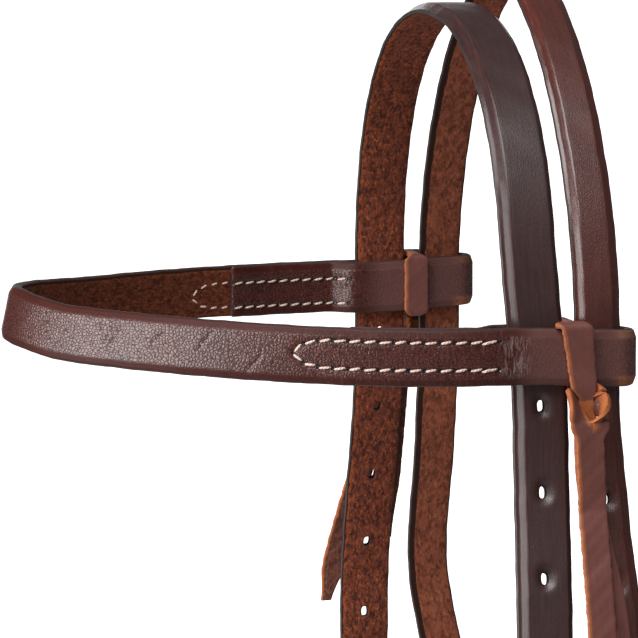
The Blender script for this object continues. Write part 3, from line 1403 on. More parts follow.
        strap = Strap("browband_leather", section, route, step=0.9 * MM,
                      extras={"seam": seam, "loop": loop},
                      shapes=[self.pull_in(route, distances), Wander(0.1 * MM, 0.08 * MM, seed=1.3)])
        strap.build(looks.band, self.body, "browband_leather", ["browband"])
        for side in Side:
            stitches = self.stitches(route, distances, side)
            Thread().build(f"{side.word}_browband_thread", route, stitches, looks.thread, self.body)


@dataclass
class Billets:
    """Shared ways of the two straps that run over the poll and end in punched billets."""

    pattern: Pattern

    def arch(self, half_width: float, rise: float, power: float, count: int = 150) -> np.ndarray:
        """Return (x, z) points over the poll from the middle to the near side's arch base."""
        turn = math.pi / 2 * (1.0 - np.linspace(0.0, 1.0, count + 1))
        base = self.pattern.arch_base
        x = half_width * np.maximum(np.cos(turn), 0.0) ** (2 / power)
        z = base + (rise - base) * np.sin(turn) ** (2 / power)
        line = columns(x, z)
        lengths = measured(line)
        return read_line(np.linspace(0.0, lengths[-1], count + 1), lengths, line)

    def punches(self, route: Route, spot: Sequence[float], toward_tip: float) -> list[Punch]:
        """Return a billet's holes, counted from the one that the tongue is in.

        Args:
            route: The strap's route.
            spot: Where the tongue goes through.
            toward_tip: 1 where the route runs towards this billet's tip, or else -1.

        Returns:
            The holes.
        """
        pattern = self.pattern
        home = route.nearest(spot)
        holes = []
        for index in range(-pattern.holes_above, pattern.holes_below + 1):
            place = home + toward_tip * index * pattern.hole_pitch
            if index == 0:
                holes.append(Punch(place, pattern.worn_half_across, pattern.worn_hole_half))
            else:
                holes.append(Punch(place, pattern.hole_half_across, pattern.hole_half_along))
        return holes


@dataclass
class CrownStrap(Billets):
    """The crown strap, which runs over the poll and ends in a punched billet on each side."""

    power: float = 2.21
    sample: float = 1.0 * MM
    near_sway: Sway = Sway(4.1 * MM, -40.0 * MM, 26.0 * MM, 26.0 * MM, 125.0 * MM)

    def route(self) -> Route:
        """Return the route from the far billet's tip, over the poll, to the near one's."""
        pattern = self.pattern
        start = pattern.strap_line(pattern.crown_thick)
        arch = self.arch(start, pattern.crown_rise, self.power)
        legs = spaced(pattern.arch_base, -pattern.leg_flare_end, self.sample)[1:]
        leg = columns(pattern.leg_x(legs, start, pattern.crown_flare), legs)
        reach = pattern.billet_reach
        down = spaced(pattern.leg_flare_end - pattern.crown_heel_drop, reach, self.sample)[1:]
        billet = columns(start + pattern.crown_flare + pattern.billet_offset(down),
                         -pattern.crown_heel_drop - down)
        line = np.concatenate([arch, leg, billet])
        near = columns(line[:, 0], -pattern.crown_from_fold, line[:, 1])
        widths = np.full(len(near), pattern.crown_width)
        widths[-len(down):] = pattern.billet_width(pattern.crown_width, reach - down)
        far = (near * MIRROR)[:0:-1]
        near[:, 1] += self.near_sway(near[:, 2])
        return Route(np.concatenate([far, near]) + pattern.origin, -BACK,
                     np.concatenate([widths[:0:-1], widths]), pattern.crown_thick)

    def build(self, looks: Looks) -> None:
        """Build the strap."""
        pattern = self.pattern
        route = self.route()
        x = pattern.strap_line(pattern.crown_thick) + pattern.crown_flare
        x += float(pattern.billet_offset(-pattern.tongue_above_heel))
        spot = np.array([x, -pattern.crown_from_fold, pattern.tongue_above_heel - pattern.crown_heel_drop])
        near = self.punches(route, spot + pattern.origin, 1.0)
        far = self.punches(route, spot * MIRROR + pattern.origin, -1.0)
        section = Section(pattern.crown_width, pattern.crown_thick, bevel=2.9 * MM, bevel_drop=2.15 * MM,
                          back_share=0.4)
        strap = Strap("crown_strap_leather", section, route, punches=near + far,
                      shapes=[HoleSink(tuple(near + far)), Wander(seed=0.4)])
        strap.build(looks.crown, "headstall", "crown_leather", ["crown_strap"])


@dataclass
class Throatlatch(Billets):
    """The throatlatch: a billet on the near side, over the poll, down the far side and back under."""

    rise: float = 122.0 * MM
    power: float = 1.73
    lean_start: float = 40.0 * MM
    lean_end: float = 131.0 * MM
    lean: float = math.radians(11.3)
    leg: float = 113.0 * MM
    bow_depth: float = 95.0 * MM
    heel_down_leg: float = 40.0 * MM
    sample: float = 1.0 * MM
    near_sway: Sway = Sway(2.0 * MM, 8.0 * MM, 52.0 * MM, 75.0 * MM, 130.0 * MM)
    far_sway: Sway = Sway(-4.5 * MM, 60.0 * MM, 120.0 * MM, 130.0 * MM, 220.0 * MM)

    @property
    def down(self) -> np.ndarray:
        """Direction of the straight lower legs."""
        return np.array([0.0, math.sin(self.lean), -math.cos(self.lean)])

    @property
    def side(self) -> np.ndarray:
        """Width direction on the straight lower legs."""
        return np.array([0.0, math.cos(self.lean), math.sin(self.lean)])

    def back(self, height: np.ndarray) -> np.ndarray:
        """How far back the strap has run at a height."""
        below = np.maximum(-height - self.lean_start, 0.0)
        span = self.lean_end - self.lean_start
        slope = math.tan(self.lean)
        return np.where(below < span, slope * below**2 / (2 * span), slope * (below - span / 2))

    @property
    def leg_start(self) -> np.ndarray:
        """Where the near leg has reached its full lean."""
        x = self.pattern.strap_line(self.pattern.throat_thick) + self.pattern.throat_flare
        y = -self.pattern.throat_from_fold + float(self.back(np.array(-self.lean_end)))
        return np.array([x, y, -self.lean_end])

    @property
    def heel(self) -> np.ndarray:
        """Place of the buckle's heel bar, before its step across the leg."""
        return self.leg_start + self.down * self.heel_down_leg

    def upper(self) -> tuple[np.ndarray, np.ndarray]:
        """Return centres and width directions from the poll down the near side to the lean's end."""
        pattern = self.pattern
        start = pattern.strap_line(pattern.throat_thick)
        arch = self.arch(start, self.rise, self.power)
        legs = spaced(pattern.arch_base, -self.lean_end, self.sample)[1:]
        leg = columns(pattern.leg_x(legs, start, pattern.throat_flare), legs)
        x, z = np.concatenate([arch, leg]).T
        share = ease((-z - self.lean_start) / (self.lean_end - self.lean_start))[:, None]
        centres = columns(x, self.back(z) - pattern.throat_from_fold, z)
        return centres, BACK * (1.0 - share) + self.side * share

    def route(self, fit: "BuckleFit") -> Route:
        """Return the route from the billet's tip to the end turned in at the buckle."""
        pattern = self.pattern
        centres, sides = self.upper()
        reach = pattern.billet_reach
        down = spaced(-self.heel_down_leg, reach, self.sample)[1:]
        billet = self.heel + self.down * down[:, None]
        billet[:, 0] += pattern.billet_offset(down)
        far_x = -self.leg_start[0]
        near_x = self.leg_start[0] + fit.strap_across
        straight = spaced(0.0, self.leg, self.sample)[1:]
        far_leg = np.array([far_x, *self.leg_start[1:]]) + self.down * straight[:, None]
        turn = math.pi * np.linspace(0.0, 1.0, 241)[1:-1]
        bow = self.leg_start + self.down * (self.leg + self.bow_depth * np.sin(turn))[:, None]
        bow[:, 0] = (far_x + near_x) / 2 - (near_x - far_x) / 2 * np.cos(turn)
        up_leg = spaced(self.leg, self.heel_down_leg + pattern.turn_taper, self.sample)[:-1]
        near_leg = np.array([near_x, *self.leg_start[1:]]) + self.down * up_leg[:, None]
        across, drop, turn_thick = fit.sewn_turn()
        sewn = self.heel + self.down * drop[::-1, None]
        sewn[:, 0] = self.leg_start[0] + across[::-1]
        far_side = (centres * MIRROR)[1:]
        centres[:, 1] += self.near_sway(centres[:, 2])
        for part in (far_side, far_leg):
            part[:, 1] += self.far_sway(part[:, 2])
        line = np.concatenate([billet[::-1], centres[::-1], far_side, far_leg, bow, near_leg, sewn])
        width_way = np.tile(self.side, (len(line), 1))
        over = np.concatenate([sides[::-1], sides[1:]])
        width_way[len(billet):len(billet) + len(over)] = over
        widths = np.full(len(line), pattern.throat_width)
        widths[:len(down)] = pattern.billet_width(pattern.throat_width, reach - down[::-1])
        thicks = np.full(len(line), pattern.throat_thick)
        thicks[-len(sewn):] = turn_thick[::-1]
        return Route(line + pattern.origin, width_way, widths, thicks)

    def build(self, looks: Looks, fit: "BuckleFit") -> None:
        """Build the strap and the thread of its sewn end."""
        pattern = self.pattern
        route = self.route(fit)
        spot = self.heel - self.down * pattern.tongue_above_heel
        spot[0] += float(pattern.billet_offset(-pattern.tongue_above_heel))
        holes = self.punches(route, spot + pattern.origin, -1.0)
        turn_top = self.heel + OUT * fit.heel_across + UP * fit.turn_radius
        slot = fit.slot(route.nearest(turn_top + pattern.origin))
        section = Section(pattern.throat_width, pattern.throat_thick, bevel=2.4 * MM, bevel_drop=1.85 * MM)
        strap = Strap("throatlatch_strap_leather", section, route, punches=holes + [slot], pattern_shift=2.0,
                      shapes=[HoleSink(tuple(holes)), Wander(seed=3.1)])
        strap.build(looks.throat, "headstall", "throat_leather", ["throatlatch_strap"])
        stitches = fit.turn_stitches(route, -1.0)
        Thread().build("throat_buckle_thread", route, stitches, looks.thread, "headstall")


@dataclass(frozen=True)
class BuckleFit:
    """Where a billet, a buckle frame and the strap sewn to it lie across a leg.

    Across runs outward from the leg's line, and down runs from the heel bar.
    """

    pattern: Pattern
    billet_width: float
    billet_thick: float
    strap_thick: float
    frame_length: float = 24.2 * MM
    side_gap: float = 0.8 * MM
    slot_half: float = 1.75 * MM
    slot_reach: float = 6.2 * MM
    stitch_pitch: float = 4.0 * MM
    stitch_gap: float = 0.8 * MM
    stitch_slant: float = math.radians(8.0)
    stitch_inset: float = 3.0 * MM
    seam_end: float = 4.0 * MM
    seam_short: float = 14.0 * MM
    thread_half: float = 0.5 * MM
    thread_lift: float = 0.05 * MM
    sample: float = 1.0 * MM

    @property
    def strap_across(self) -> float:
        """Middle of the sewn strap's outer layer."""
        return self.pattern.billet_lift - self.billet_thick / 2 - self.pattern.touch - self.strap_thick / 2

    @property
    def turn_radius(self) -> float:
        """Radius of the leather's middle round the heel bar."""
        return self.pattern.wire_radius + self.pattern.touch + self.pattern.skived_thick / 2

    @property
    def heel_across(self) -> float:
        """Axis of the heel bar."""
        return self.strap_across - self.turn_radius

    @property
    def toe_across(self) -> float:
        """Axis of the toe bar, which the billet passes behind."""
        return self.billet_thick / 2 + self.pattern.touch + self.pattern.wire_radius

    @property
    def tilt(self) -> float:
        """Slope of the frame, which leans outward towards its toe."""
        return math.asin((self.toe_across - self.heel_across) / self.frame_length)

    @property
    def turn_across(self) -> float:
        """Middle of the layer that is turned in behind the strap."""
        thick = self.pattern.turn_end_thick
        return self.strap_across - self.strap_thick / 2 - self.pattern.touch - thick / 2

    @property
    def rail_half(self) -> float:
        """Distance from the middle to a side rail's axis."""
        return self.billet_width / 2 + self.side_gap + self.pattern.wire_radius

    def sewn_turn(self) -> tuple[np.ndarray, np.ndarray, np.ndarray]:
        """Return across, down and thickness from the turned-in end, over the heel bar, to the strap."""
        pattern = self.pattern
        radius = self.turn_radius
        lower = spaced(pattern.turn_length, pattern.turn_taper, self.sample)
        taper = spaced(pattern.turn_taper, 0.0, self.sample)[1:-1]
        turn = math.pi * (1.0 - np.linspace(0.0, 1.0, 25))
        after = spaced(0.0, pattern.turn_taper, self.sample)[1:]
        across = np.concatenate([
            np.full(len(lower), self.turn_across),
            blend(self.heel_across - radius, self.turn_across, taper / pattern.turn_taper),
            self.heel_across + radius * np.cos(turn),
            np.full(len(after), self.strap_across)])
        down = np.concatenate([lower, taper, -radius * np.sin(turn), after])
        thick = np.concatenate([
            np.full(len(lower), pattern.turn_end_thick),
            blend(pattern.skived_thick, pattern.turn_end_thick, taper / pattern.turn_taper),
            np.full(len(turn), pattern.skived_thick),
            blend(pattern.skived_thick, self.strap_thick, after / pattern.turn_taper)])
        return across, down, thick

    def slot(self, home: float) -> Punch:
        """Return the slot that the tongue's eye sits in."""
        half = math.pi / 2 * self.turn_radius + self.slot_reach
        return Punch(home, self.slot_half, half)

    def turn_stitches(self, route: Route, toward_strap: float) -> list[Stitch]:
        """Lay the two rows that close the turned-in end, on its inner face.

        Args:
            route: The strap's route.
            toward_strap: 1 where the route starts at the turned-in end, or else -1.

        Returns:
            The stitches.
        """
        begin = self.seam_end if toward_strap > 0 else route.length - self.seam_end
        rows = int((self.pattern.turn_length - self.seam_short) / self.stitch_pitch)
        height = self.pattern.turn_end_thick / 2 + self.thread_lift
        edge = self.billet_width / 2 - self.stitch_inset
        length = self.stitch_pitch - self.stitch_gap
        found = []
        for index in range(rows):
            along = begin + toward_strap * (index + 0.5) * self.stitch_pitch
            found += [Stitch(across, along, height, self.stitch_slant, length, Face.GRAIN, self.thread_half)
                      for across in (-edge, edge)]
        return found


@dataclass
class CheekStrap:
    """A cheek strap, turned round its buckle's heel bar above and round the bit below."""

    fit: BuckleFit
    side: Side
    heel: np.ndarray
    width: float = 19.05 * MM
    length: float = 200.0 * MM
    loop_radius: float = 6.5 * MM
    close: float = 20.0 * MM
    turn_back: float = 66.0 * MM
    screw_from_close: float = 9.0 * MM
    screw_spacing: float = 22.0 * MM
    screw_hole: float = 2.8 * MM

    @property
    def floor(self) -> float:
        """Distance from the heel bar down to the bit loop's axis."""
        return self.length - self.loop_radius - self.fit.pattern.cheek_thick

    def route(self) -> Route:
        """Return the route on the near side, from the end turned in at the buckle."""
        pattern = self.fit.pattern
        thick = pattern.cheek_thick
        radius = self.loop_radius + thick / 2
        across, down, thicks = self.fit.sewn_turn()
        straight = spaced(pattern.turn_taper, self.floor, self.fit.sample)[1:]
        turn = -math.pi * np.linspace(0.0, 1.0, 33)[1:]
        strap = self.fit.strap_across
        inner = strap - thick - pattern.touch
        rise = spaced(0.0, self.turn_back, self.fit.sample)[1:]
        back = blend(strap - 2 * radius, inner, rise / self.close)
        end = np.clip((rise - self.turn_back + pattern.turn_taper) / pattern.turn_taper, 0.0, 1.0)
        bend = strap - radius + radius * np.cos(turn)
        x = np.concatenate([across, np.full(len(straight), strap), bend, back])
        z = -np.concatenate([down, straight, self.floor - radius * np.sin(turn), self.floor - rise])
        flat_thick = np.full(len(straight) + len(turn), thick)
        thicks = np.concatenate([thicks, flat_thick, thick + (pattern.turn_end_thick - thick) * end])
        return Route(columns(x - self.fit.heel_across, 0.0, z) + self.heel, -BACK, self.width, thicks)

    def screw_drops(self) -> list[float]:
        """Return how far below the heel bar each screw post sits, lower one first."""
        first = self.floor - self.close - self.screw_from_close
        return [first, first - self.screw_spacing]

    def screw_middle(self) -> float:
        """Middle of the two clamped layers, outward from the heel bar."""
        thick = self.fit.pattern.cheek_thick
        return self.fit.strap_across - self.fit.heel_across - (thick + self.fit.pattern.touch) / 2

    def build(self, looks: Looks) -> None:
        """Build the strap and the thread of its sewn end."""
        route = self.route()
        pattern = self.fit.pattern
        holes = [self.fit.slot(route.nearest(self.heel + UP * self.fit.turn_radius))]
        outer = self.fit.strap_across - self.fit.heel_across
        for drop in self.screw_drops():
            for layer in (outer, outer - pattern.cheek_thick - pattern.touch):
                place = route.nearest(self.heel + OUT * layer - UP * drop)
                holes.append(Punch(place, self.screw_hole, self.screw_hole))
        if self.side is Side.FAR:
            route = route.mirrored()
        section = Section(self.width, pattern.cheek_thick, bevel=2.6 * MM, bevel_drop=0.9 * MM)
        strap = Strap(f"{self.side.word}_cheek_strap_leather", section, route, punches=holes,
                      pattern_shift=4.0 + self.side.value,
                      shapes=[Wander(0.1 * MM, 0.06 * MM, seed=self.side.value)])
        strap.build(looks.crown, "headstall", "crown_leather", [f"{self.side.word}_cheek_strap"])
        stitches = self.fit.turn_stitches(route, 1.0)
        Thread().build(f"{self.side.word}_cheek_thread", route, stitches, looks.thread, "headstall")


@dataclass(frozen=True)
class Seat:
    """Where a buckle sits: its heel bar, and the directions down and across its strap.

    All are given on the near side, and a far seat's pieces are mirrored.
    """

    heel: np.ndarray
    down: np.ndarray
    side: np.ndarray
    far: bool

    def spots(self, local: np.ndarray) -> np.ndarray:
        """Carry (outward, across the strap, down) rows to the seat."""
        return self.heel + local[:, :1] * OUT + local[:, 1:2] * self.side + local[:, 2:] * self.down


@dataclass
class Keeper:
    """A leather keeper loop: a thin strip bent round the layers and sewn where its ends meet."""

    name: str
    inner: float
    outer: float
    half_width: float
    drop: float
    seat: Seat
    wall: float = 1.8 * MM
    height: float = 11.0 * MM
    corner: float = 1.4 * MM
    gap: float = 0.3 * MM
    sample: float = 1.0 * MM
    stitch_across: float = 2.6 * MM
    stitch_from_seam: float = 1.8 * MM
    stitch_length: float = 3.4 * MM
    stitch_lean: float = math.radians(12.0)
    thread_half: float = 0.5 * MM
    thread_lift: float = 0.05 * MM

    def route(self) -> Route:
        """Return the keeper's loop, from its seam on the inner side and round to it again."""
        half_x = (self.outer - self.inner) / 2 + self.gap + self.wall / 2
        half_y = self.half_width + self.gap + self.wall / 2
        bend = self.corner + self.wall / 2
        flat = [(-half_x, y) for y in spaced(0.0, half_y - bend, self.sample)[:-1]]
        corners = [(-1, 1, math.pi), (1, 1, math.pi / 2), (1, -1, 0.0), (-1, -1, -math.pi / 2)]
        for sign_x, sign_y, start in corners:
            for turn in np.linspace(start, start - math.pi / 2, 9):
                flat.append((sign_x * (half_x - bend) + bend * math.cos(turn),
                             sign_y * (half_y - bend) + bend * math.sin(turn)))
        flat += [(-half_x, y) for y in spaced(-half_y + bend, 0.0, self.sample)[1:]]
        x, y = np.array(flat).T
        line = self.seat.spots(columns((self.inner + self.outer) / 2 + x, y, self.drop + self.height / 2))
        keep = np.concatenate([[True], np.diff(measured(line)) > 1.0e-6])
        return Route(line[keep], self.seat.down, self.height, self.wall, flipped=True)

    def build(self, looks: Looks, leather: Material, slot: str, body: str, node: str) -> None:
        """Build the keeper and the two stitches that close it."""
        route = self.route()
        if self.seat.far:
            route = route.mirrored()
        section = Section(self.height, self.wall, bevel=1.5 * MM, bevel_drop=0.4 * MM, edge_depth=0.6 * MM,
                          flesh_drop=0.05 * MM, cell=0.8 * MM, edge_steps=6)
        strap = Strap(f"{self.name}_leather", section, route, step=0.8 * MM, end_round=0.3 * MM,
                      pattern_shift=7.0 + 3.0 * self.drop)
        strap.build(leather, body, slot, [node])
        begin = self.stitch_from_seam
        stitches = [Stitch(across, along, self.wall / 2 + self.thread_lift, math.pi / 2 + lean,
                           self.stitch_length, Face.GRAIN, self.thread_half)
                    for across in (-self.stitch_across, self.stitch_across)
                    for along, lean in ((begin, self.stitch_lean), (route.length - begin, -self.stitch_lean))]
        Thread().build(f"{self.name}_thread", route, stitches, looks.thread, body)


@dataclass
class Wire:
    """Round wire bent along a line; across is square to the line's plane.

    An open wire loses the taper's share of its radius towards its second end. Flats is the share
    of the radius by which the wire is flattened across its plane.
    """

    line: np.ndarray
    radius: float
    across: np.ndarray
    closed: bool
    sides: int
    taper: float = 0.0
    flats: float = 0.0

    def mesh(self, name: str) -> Mesh:
        """Bend the wire and return its mesh."""
        count = len(self.line)
        rows = count if self.closed else count - 1
        wire = bmesh.new()
        bmesh.ops.create_grid(wire, x_segments=self.sides, y_segments=rows, size=1.0)
        before, after = np.roll(self.line, 1, axis=0), np.roll(self.line, -1, axis=0)
        if not self.closed:
            before[0], after[-1] = self.line[0], self.line[-1]
        runs = after - before
        runs /= np.linalg.norm(runs, axis=1)[:, None]
        outs = np.cross(self.across, runs)
        for vert in wire.verts:
            column = round((vert.co.x + 1.0) / 2 * self.sides) % self.sides
            row = round((vert.co.y + 1.0) / 2 * rows) % count
            turn = math.tau * column / self.sides
            left = (count - 1 - row) / (count - 1)
            radius = self.radius * (1.0 - self.taper * (1.0 - left))
            if not self.closed:
                for end in (row, count - 1 - row):
                    radius *= math.sqrt(1.0 - (1.0 - min(end / 3.0, 1.0)) ** 2 * 0.85)
            spot = self.line[row] + self.across * math.cos(turn) * radius * (1.0 - self.flats)
            vert.co = spot + outs[row] * math.sin(turn) * radius
        bmesh.ops.remove_doubles(wire, verts=wire.verts, dist=1.0e-7)
        if not self.closed:
            bmesh.ops.holes_fill(wire, edges=wire.edges, sides=0)
        bmesh.ops.recalc_face_normals(wire, faces=wire.faces)
        return finished(wire, name)


@dataclass
class Buckle:
    """A heel-bar buckle: a wire frame, its tongue and the two keepers under it."""

    label: str
    fit: BuckleFit
    seat: Seat
    heel_corner: float = 2.4 * MM
    toe_corner: float = 4.5 * MM
    tongue_radius: float = 1.25 * MM
    eye_turn: float = math.radians(250.0)
    overhang: float = 3.0 * MM
    fixed_drop: float = 14.0 * MM
    loose_drop: float = 50.0 * MM
    sample: float = 1.2 * MM
    tongue_shares: tuple = ((-0.02, 0.19), (0.045, 0.37), (0.33, 0.515), (0.64, 0.635), (0.87, 0.82))

    def set_in_place(self, local: np.ndarray) -> np.ndarray:
        """Carry (outward, across the strap, up) rows to the buckle's place."""
        rows = self.seat.spots(local * np.array([1.0, 1.0, -1.0]))
        return rows * MIRROR if self.seat.far else rows

    @property
    def square(self) -> np.ndarray:
        """Direction square to the leaning frame, before it is set in place."""
        return np.array([math.cos(self.fit.tilt), 0.0, -math.sin(self.fit.tilt)])

    def frame_line(self) -> np.ndarray:
        """Return the frame's middle line, leaning outward to its toe."""
        side = self.fit.rail_half
        length = self.fit.frame_length
        corners = [(side - self.heel_corner, self.heel_corner, self.heel_corner, -math.pi / 2),
                   (side - self.toe_corner, length - self.toe_corner, self.toe_corner, 0.0),
                   (self.toe_corner - side, length - self.toe_corner, self.toe_corner, math.pi / 2),
                   (self.heel_corner - side, self.heel_corner, self.heel_corner, math.pi)]
        flat = []
        for y, z, radius, start in corners:
            for turn in np.linspace(start, start + math.pi / 2, 11):
                flat.append((y + radius * math.cos(turn), z + radius * math.sin(turn)))
        flat = np.array(flat)
        dense = []
        for first, second in zip(flat, np.roll(flat, -1, axis=0)):
            count = max(1, math.ceil(np.linalg.norm(second - first) / self.sample))
            dense += [first + (second - first) * step / count for step in range(count)]
        across, up = np.array(dense).T
        return columns(up * math.sin(self.fit.tilt), across, up * math.cos(self.fit.tilt))

    def tongue_line(self) -> np.ndarray:
        """Return the tongue's middle line from its eye, through the billet's hole, to its tip."""
        pattern = self.fit.pattern
        eye = pattern.wire_radius + pattern.touch + self.tongue_radius
        turn = -self.eye_turn * (1.0 - np.linspace(0.0, 1.0, 33))
        loop = columns(eye * np.cos(turn), 0.0, eye * np.sin(turn))
        toe_up = self.fit.frame_length * math.cos(self.fit.tilt)
        toe = np.array([self.fit.toe_across - self.fit.heel_across, 0.0, toe_up])
        rest = toe + self.square * eye
        first = loop[-1]
        knots = [first]
        for across_share, up_share in self.tongue_shares:
            knots.append(np.array([first[0] + (rest[0] - first[0]) * across_share, 0.0, rest[2] * up_share]))
        knots.append(rest)
        run = rest - knots[-2]
        knots.append(rest + run / np.linalg.norm(run) * self.overhang)
        return np.concatenate([loop[:-1], smooth_line(knots, 7)])

    def build(self, looks: Looks, leather: Material, slot: str) -> None:
        """Build the frame, the tongue and both keepers."""
        fit = self.fit
        zero, square, side = self.set_in_place(np.array([np.zeros(3), self.square, BACK]))
        wires = {"frame": Wire(self.set_in_place(self.frame_line()), fit.pattern.wire_radius, square - zero,
                               True, 20, flats=0.06),
                 "tongue": Wire(self.set_in_place(self.tongue_line()), self.tongue_radius, side - zero,
                                False, 16, taper=0.12)}
        for kind, body in (("frame", "buckle"), ("tongue", "tongue")):
            mesh = wires[kind].mesh(f"{self.label}_{body}_wire")
            add_piece(mesh, looks.steel, f"{self.label}_{body}",
                      [f"{self.label}_buckle_{kind}"])
        outer = fit.pattern.billet_lift + fit.billet_thick / 2 - fit.heel_across
        turned = fit.turn_across - fit.pattern.turn_end_thick / 2 - fit.heel_across
        strap = fit.strap_across - fit.strap_thick / 2 - fit.heel_across
        for kind, inner, drop, body in (("fixed", turned, self.fixed_drop, "headstall"),
                                        ("sliding", strap, self.loose_drop, f"{self.label}_keeper")):
            name = f"{self.label}_{kind}_keeper"
            keeper = Keeper(name, inner, outer, fit.billet_width / 2, drop, self.seat)
            keeper.build(looks, leather, slot, body, name)


def smooth_line(knots: Sequence[np.ndarray], count: int) -> np.ndarray:
    """Return points on a smooth curve through every knot, count of them to each stretch."""
    ends = [knots[0] * 2 - knots[1], *knots, knots[-1] * 2 - knots[-2]]
    points = []
    for index in range(len(knots) - 1):
        before, start, end, after = ends[index:index + 4]
        for share in np.linspace(0.0, 1.0, count, endpoint=False):
            bend = (3 * start - before - 3 * end + after) * share**3
            bend = bend + (2 * before - 5 * start + 4 * end - after) * share**2
            points.append((bend + (end - before) * share + start * 2) / 2)
    return np.array([*points, knots[-1]])


@dataclass
class BitScrews:
    """The screws and their posts that close a cheek strap over the bit."""

    cheek: CheekStrap
    head_radius: float = 4.9 * MM
    head_thick: float = 1.5 * MM
    dome_share: float = 0.45
    post_radius: float = 2.5 * MM
    bore_radius: float = 1.7 * MM
    post_floor: float = 1.0 * MM
    shank_radius: float = 1.35 * MM
    slot_width: float = 1.1 * MM
    slot_depth: float = 0.7 * MM
    rim_bevel: float = 0.18 * MM

    def turned(self, name: str, profile: Sequence[tuple[float, float]], spot: np.ndarray, slotted: bool,
               flip: bool) -> Mesh:
        """Turn a profile of (radius, along X) rows about X and set it in place.

        Args:
            name: The mesh's name.
            profile: The profile, whose ends lie on the axis.
            spot: Where its middle goes.
            slotted: Whether its head is slotted for a driver.
            flip: Whether it is for the far side.

        Returns:
            The mesh.
        """
        part = bmesh.new()
        corners = [part.verts.new((along, radius, 0.0)) for radius, along in profile]
        for pair in zip(corners, corners[1:]):
            part.edges.new(pair)
        rim = [vert for vert, (radius, _along) in zip(corners, profile) if radius > self.head_radius * 0.6]
        bmesh.ops.bevel(part, geom=rim, offset=self.rim_bevel, segments=2, profile=0.5,
                        affect="VERTICES", material=-1)
        bmesh.ops.spin(part, geom=part.verts[:] + part.edges[:], cent=(0, 0, 0), axis=(1, 0, 0),
                       dvec=(0, 0, 0), angle=math.tau, steps=40, use_merge=True)
        bmesh.ops.remove_doubles(part, verts=part.verts, dist=1.0e-6)
        bmesh.ops.recalc_face_normals(part, faces=part.faces)
        mesh = finished(part, name)
        if slotted:
            mesh = self.slotted(mesh, profile[0][1])
        rows = read_places(mesh) + spot
        if flip:
            rows *= MIRROR
            mesh.flip_normals()
        write_places(mesh, rows)
        return mesh

    def slotted(self, mesh: Mesh, top: float) -> Mesh:
        """Cut a driver's slot across a head and return the new mesh."""
        cutter = bmesh.new()
        bmesh.ops.create_cube(cutter, size=1.0)
        block = (2 * self.slot_depth, self.slot_width, 4 * self.head_radius)
        bmesh.ops.scale(cutter, vec=block, verts=cutter.verts)
        bmesh.ops.translate(cutter, vec=(top, 0, 0), verts=cutter.verts)
        tool_mesh = finished(cutter, "slot_cutter")
        tool = placed("slot_cutter", tool_mesh)
        head = placed("slot_head", mesh)
        cut = head.modifiers.new("slot", "BOOLEAN")
        cut.object = tool
        made = bpy.data.meshes.new_from_object(head.evaluated_get(bpy.context.evaluated_depsgraph_get()))
        for item in (tool, head):
            bpy.data.objects.remove(item)
        bpy.data.meshes.remove(tool_mesh)
        name = mesh.name
        bpy.data.meshes.remove(mesh)
        made.name = name
        return made

    def build(self, looks: Looks) -> None:
        """Build both screws with their posts."""
        pattern = self.cheek.fit.pattern
        half = pattern.cheek_thick + pattern.touch / 2
        outer = half + pattern.touch
        floor = self.post_floor - half
        tip = floor + self.post_floor
        ring = self.head_radius * math.sqrt(0.5)
        rises = ((0.0, 1.0), (ring * 0.55, 0.97), (ring, 0.88), (self.head_radius, self.dome_share))
        head = [(radius, outer + self.head_thick * share) for radius, share in rises]
        post = [*((radius, -along) for radius, along in head), (self.head_radius, -outer),
                (self.post_radius, -outer), (self.post_radius, half), (self.bore_radius, half),
                (self.bore_radius, floor), (0.0, floor)]
        screw = [*head, (self.head_radius, outer), (self.shank_radius, outer), (self.shank_radius, tip),
                 (0.0, tip)]
        for level, drop in zip(("lower", "upper"), self.cheek.screw_drops()):
            spot = self.cheek.heel + OUT * self.cheek.screw_middle() - UP * drop
            label = f"{self.cheek.side.word}_{level}_bit"
            for kind, profile in (("post", post), ("screw", screw)):
                mesh = self.turned(f"{label}_{kind}_steel", profile, spot, kind == "screw",
                                   self.cheek.side is Side.FAR)
                add_piece(mesh, looks.steel, "headstall", [f"{label}_{kind}"])


@dataclass(frozen=True)
class LaceHang:
    """How far each end of a lace drifts backward below the knot, and over what drop.

    Past lean_from the tail also leans forward, by tail_lean for each metre down.
    """

    tail_shift: float
    tail_swing: float
    short_shift: float
    short_swing: float
    tail_lean: float = 0.0
    lean_from: float = 0.0


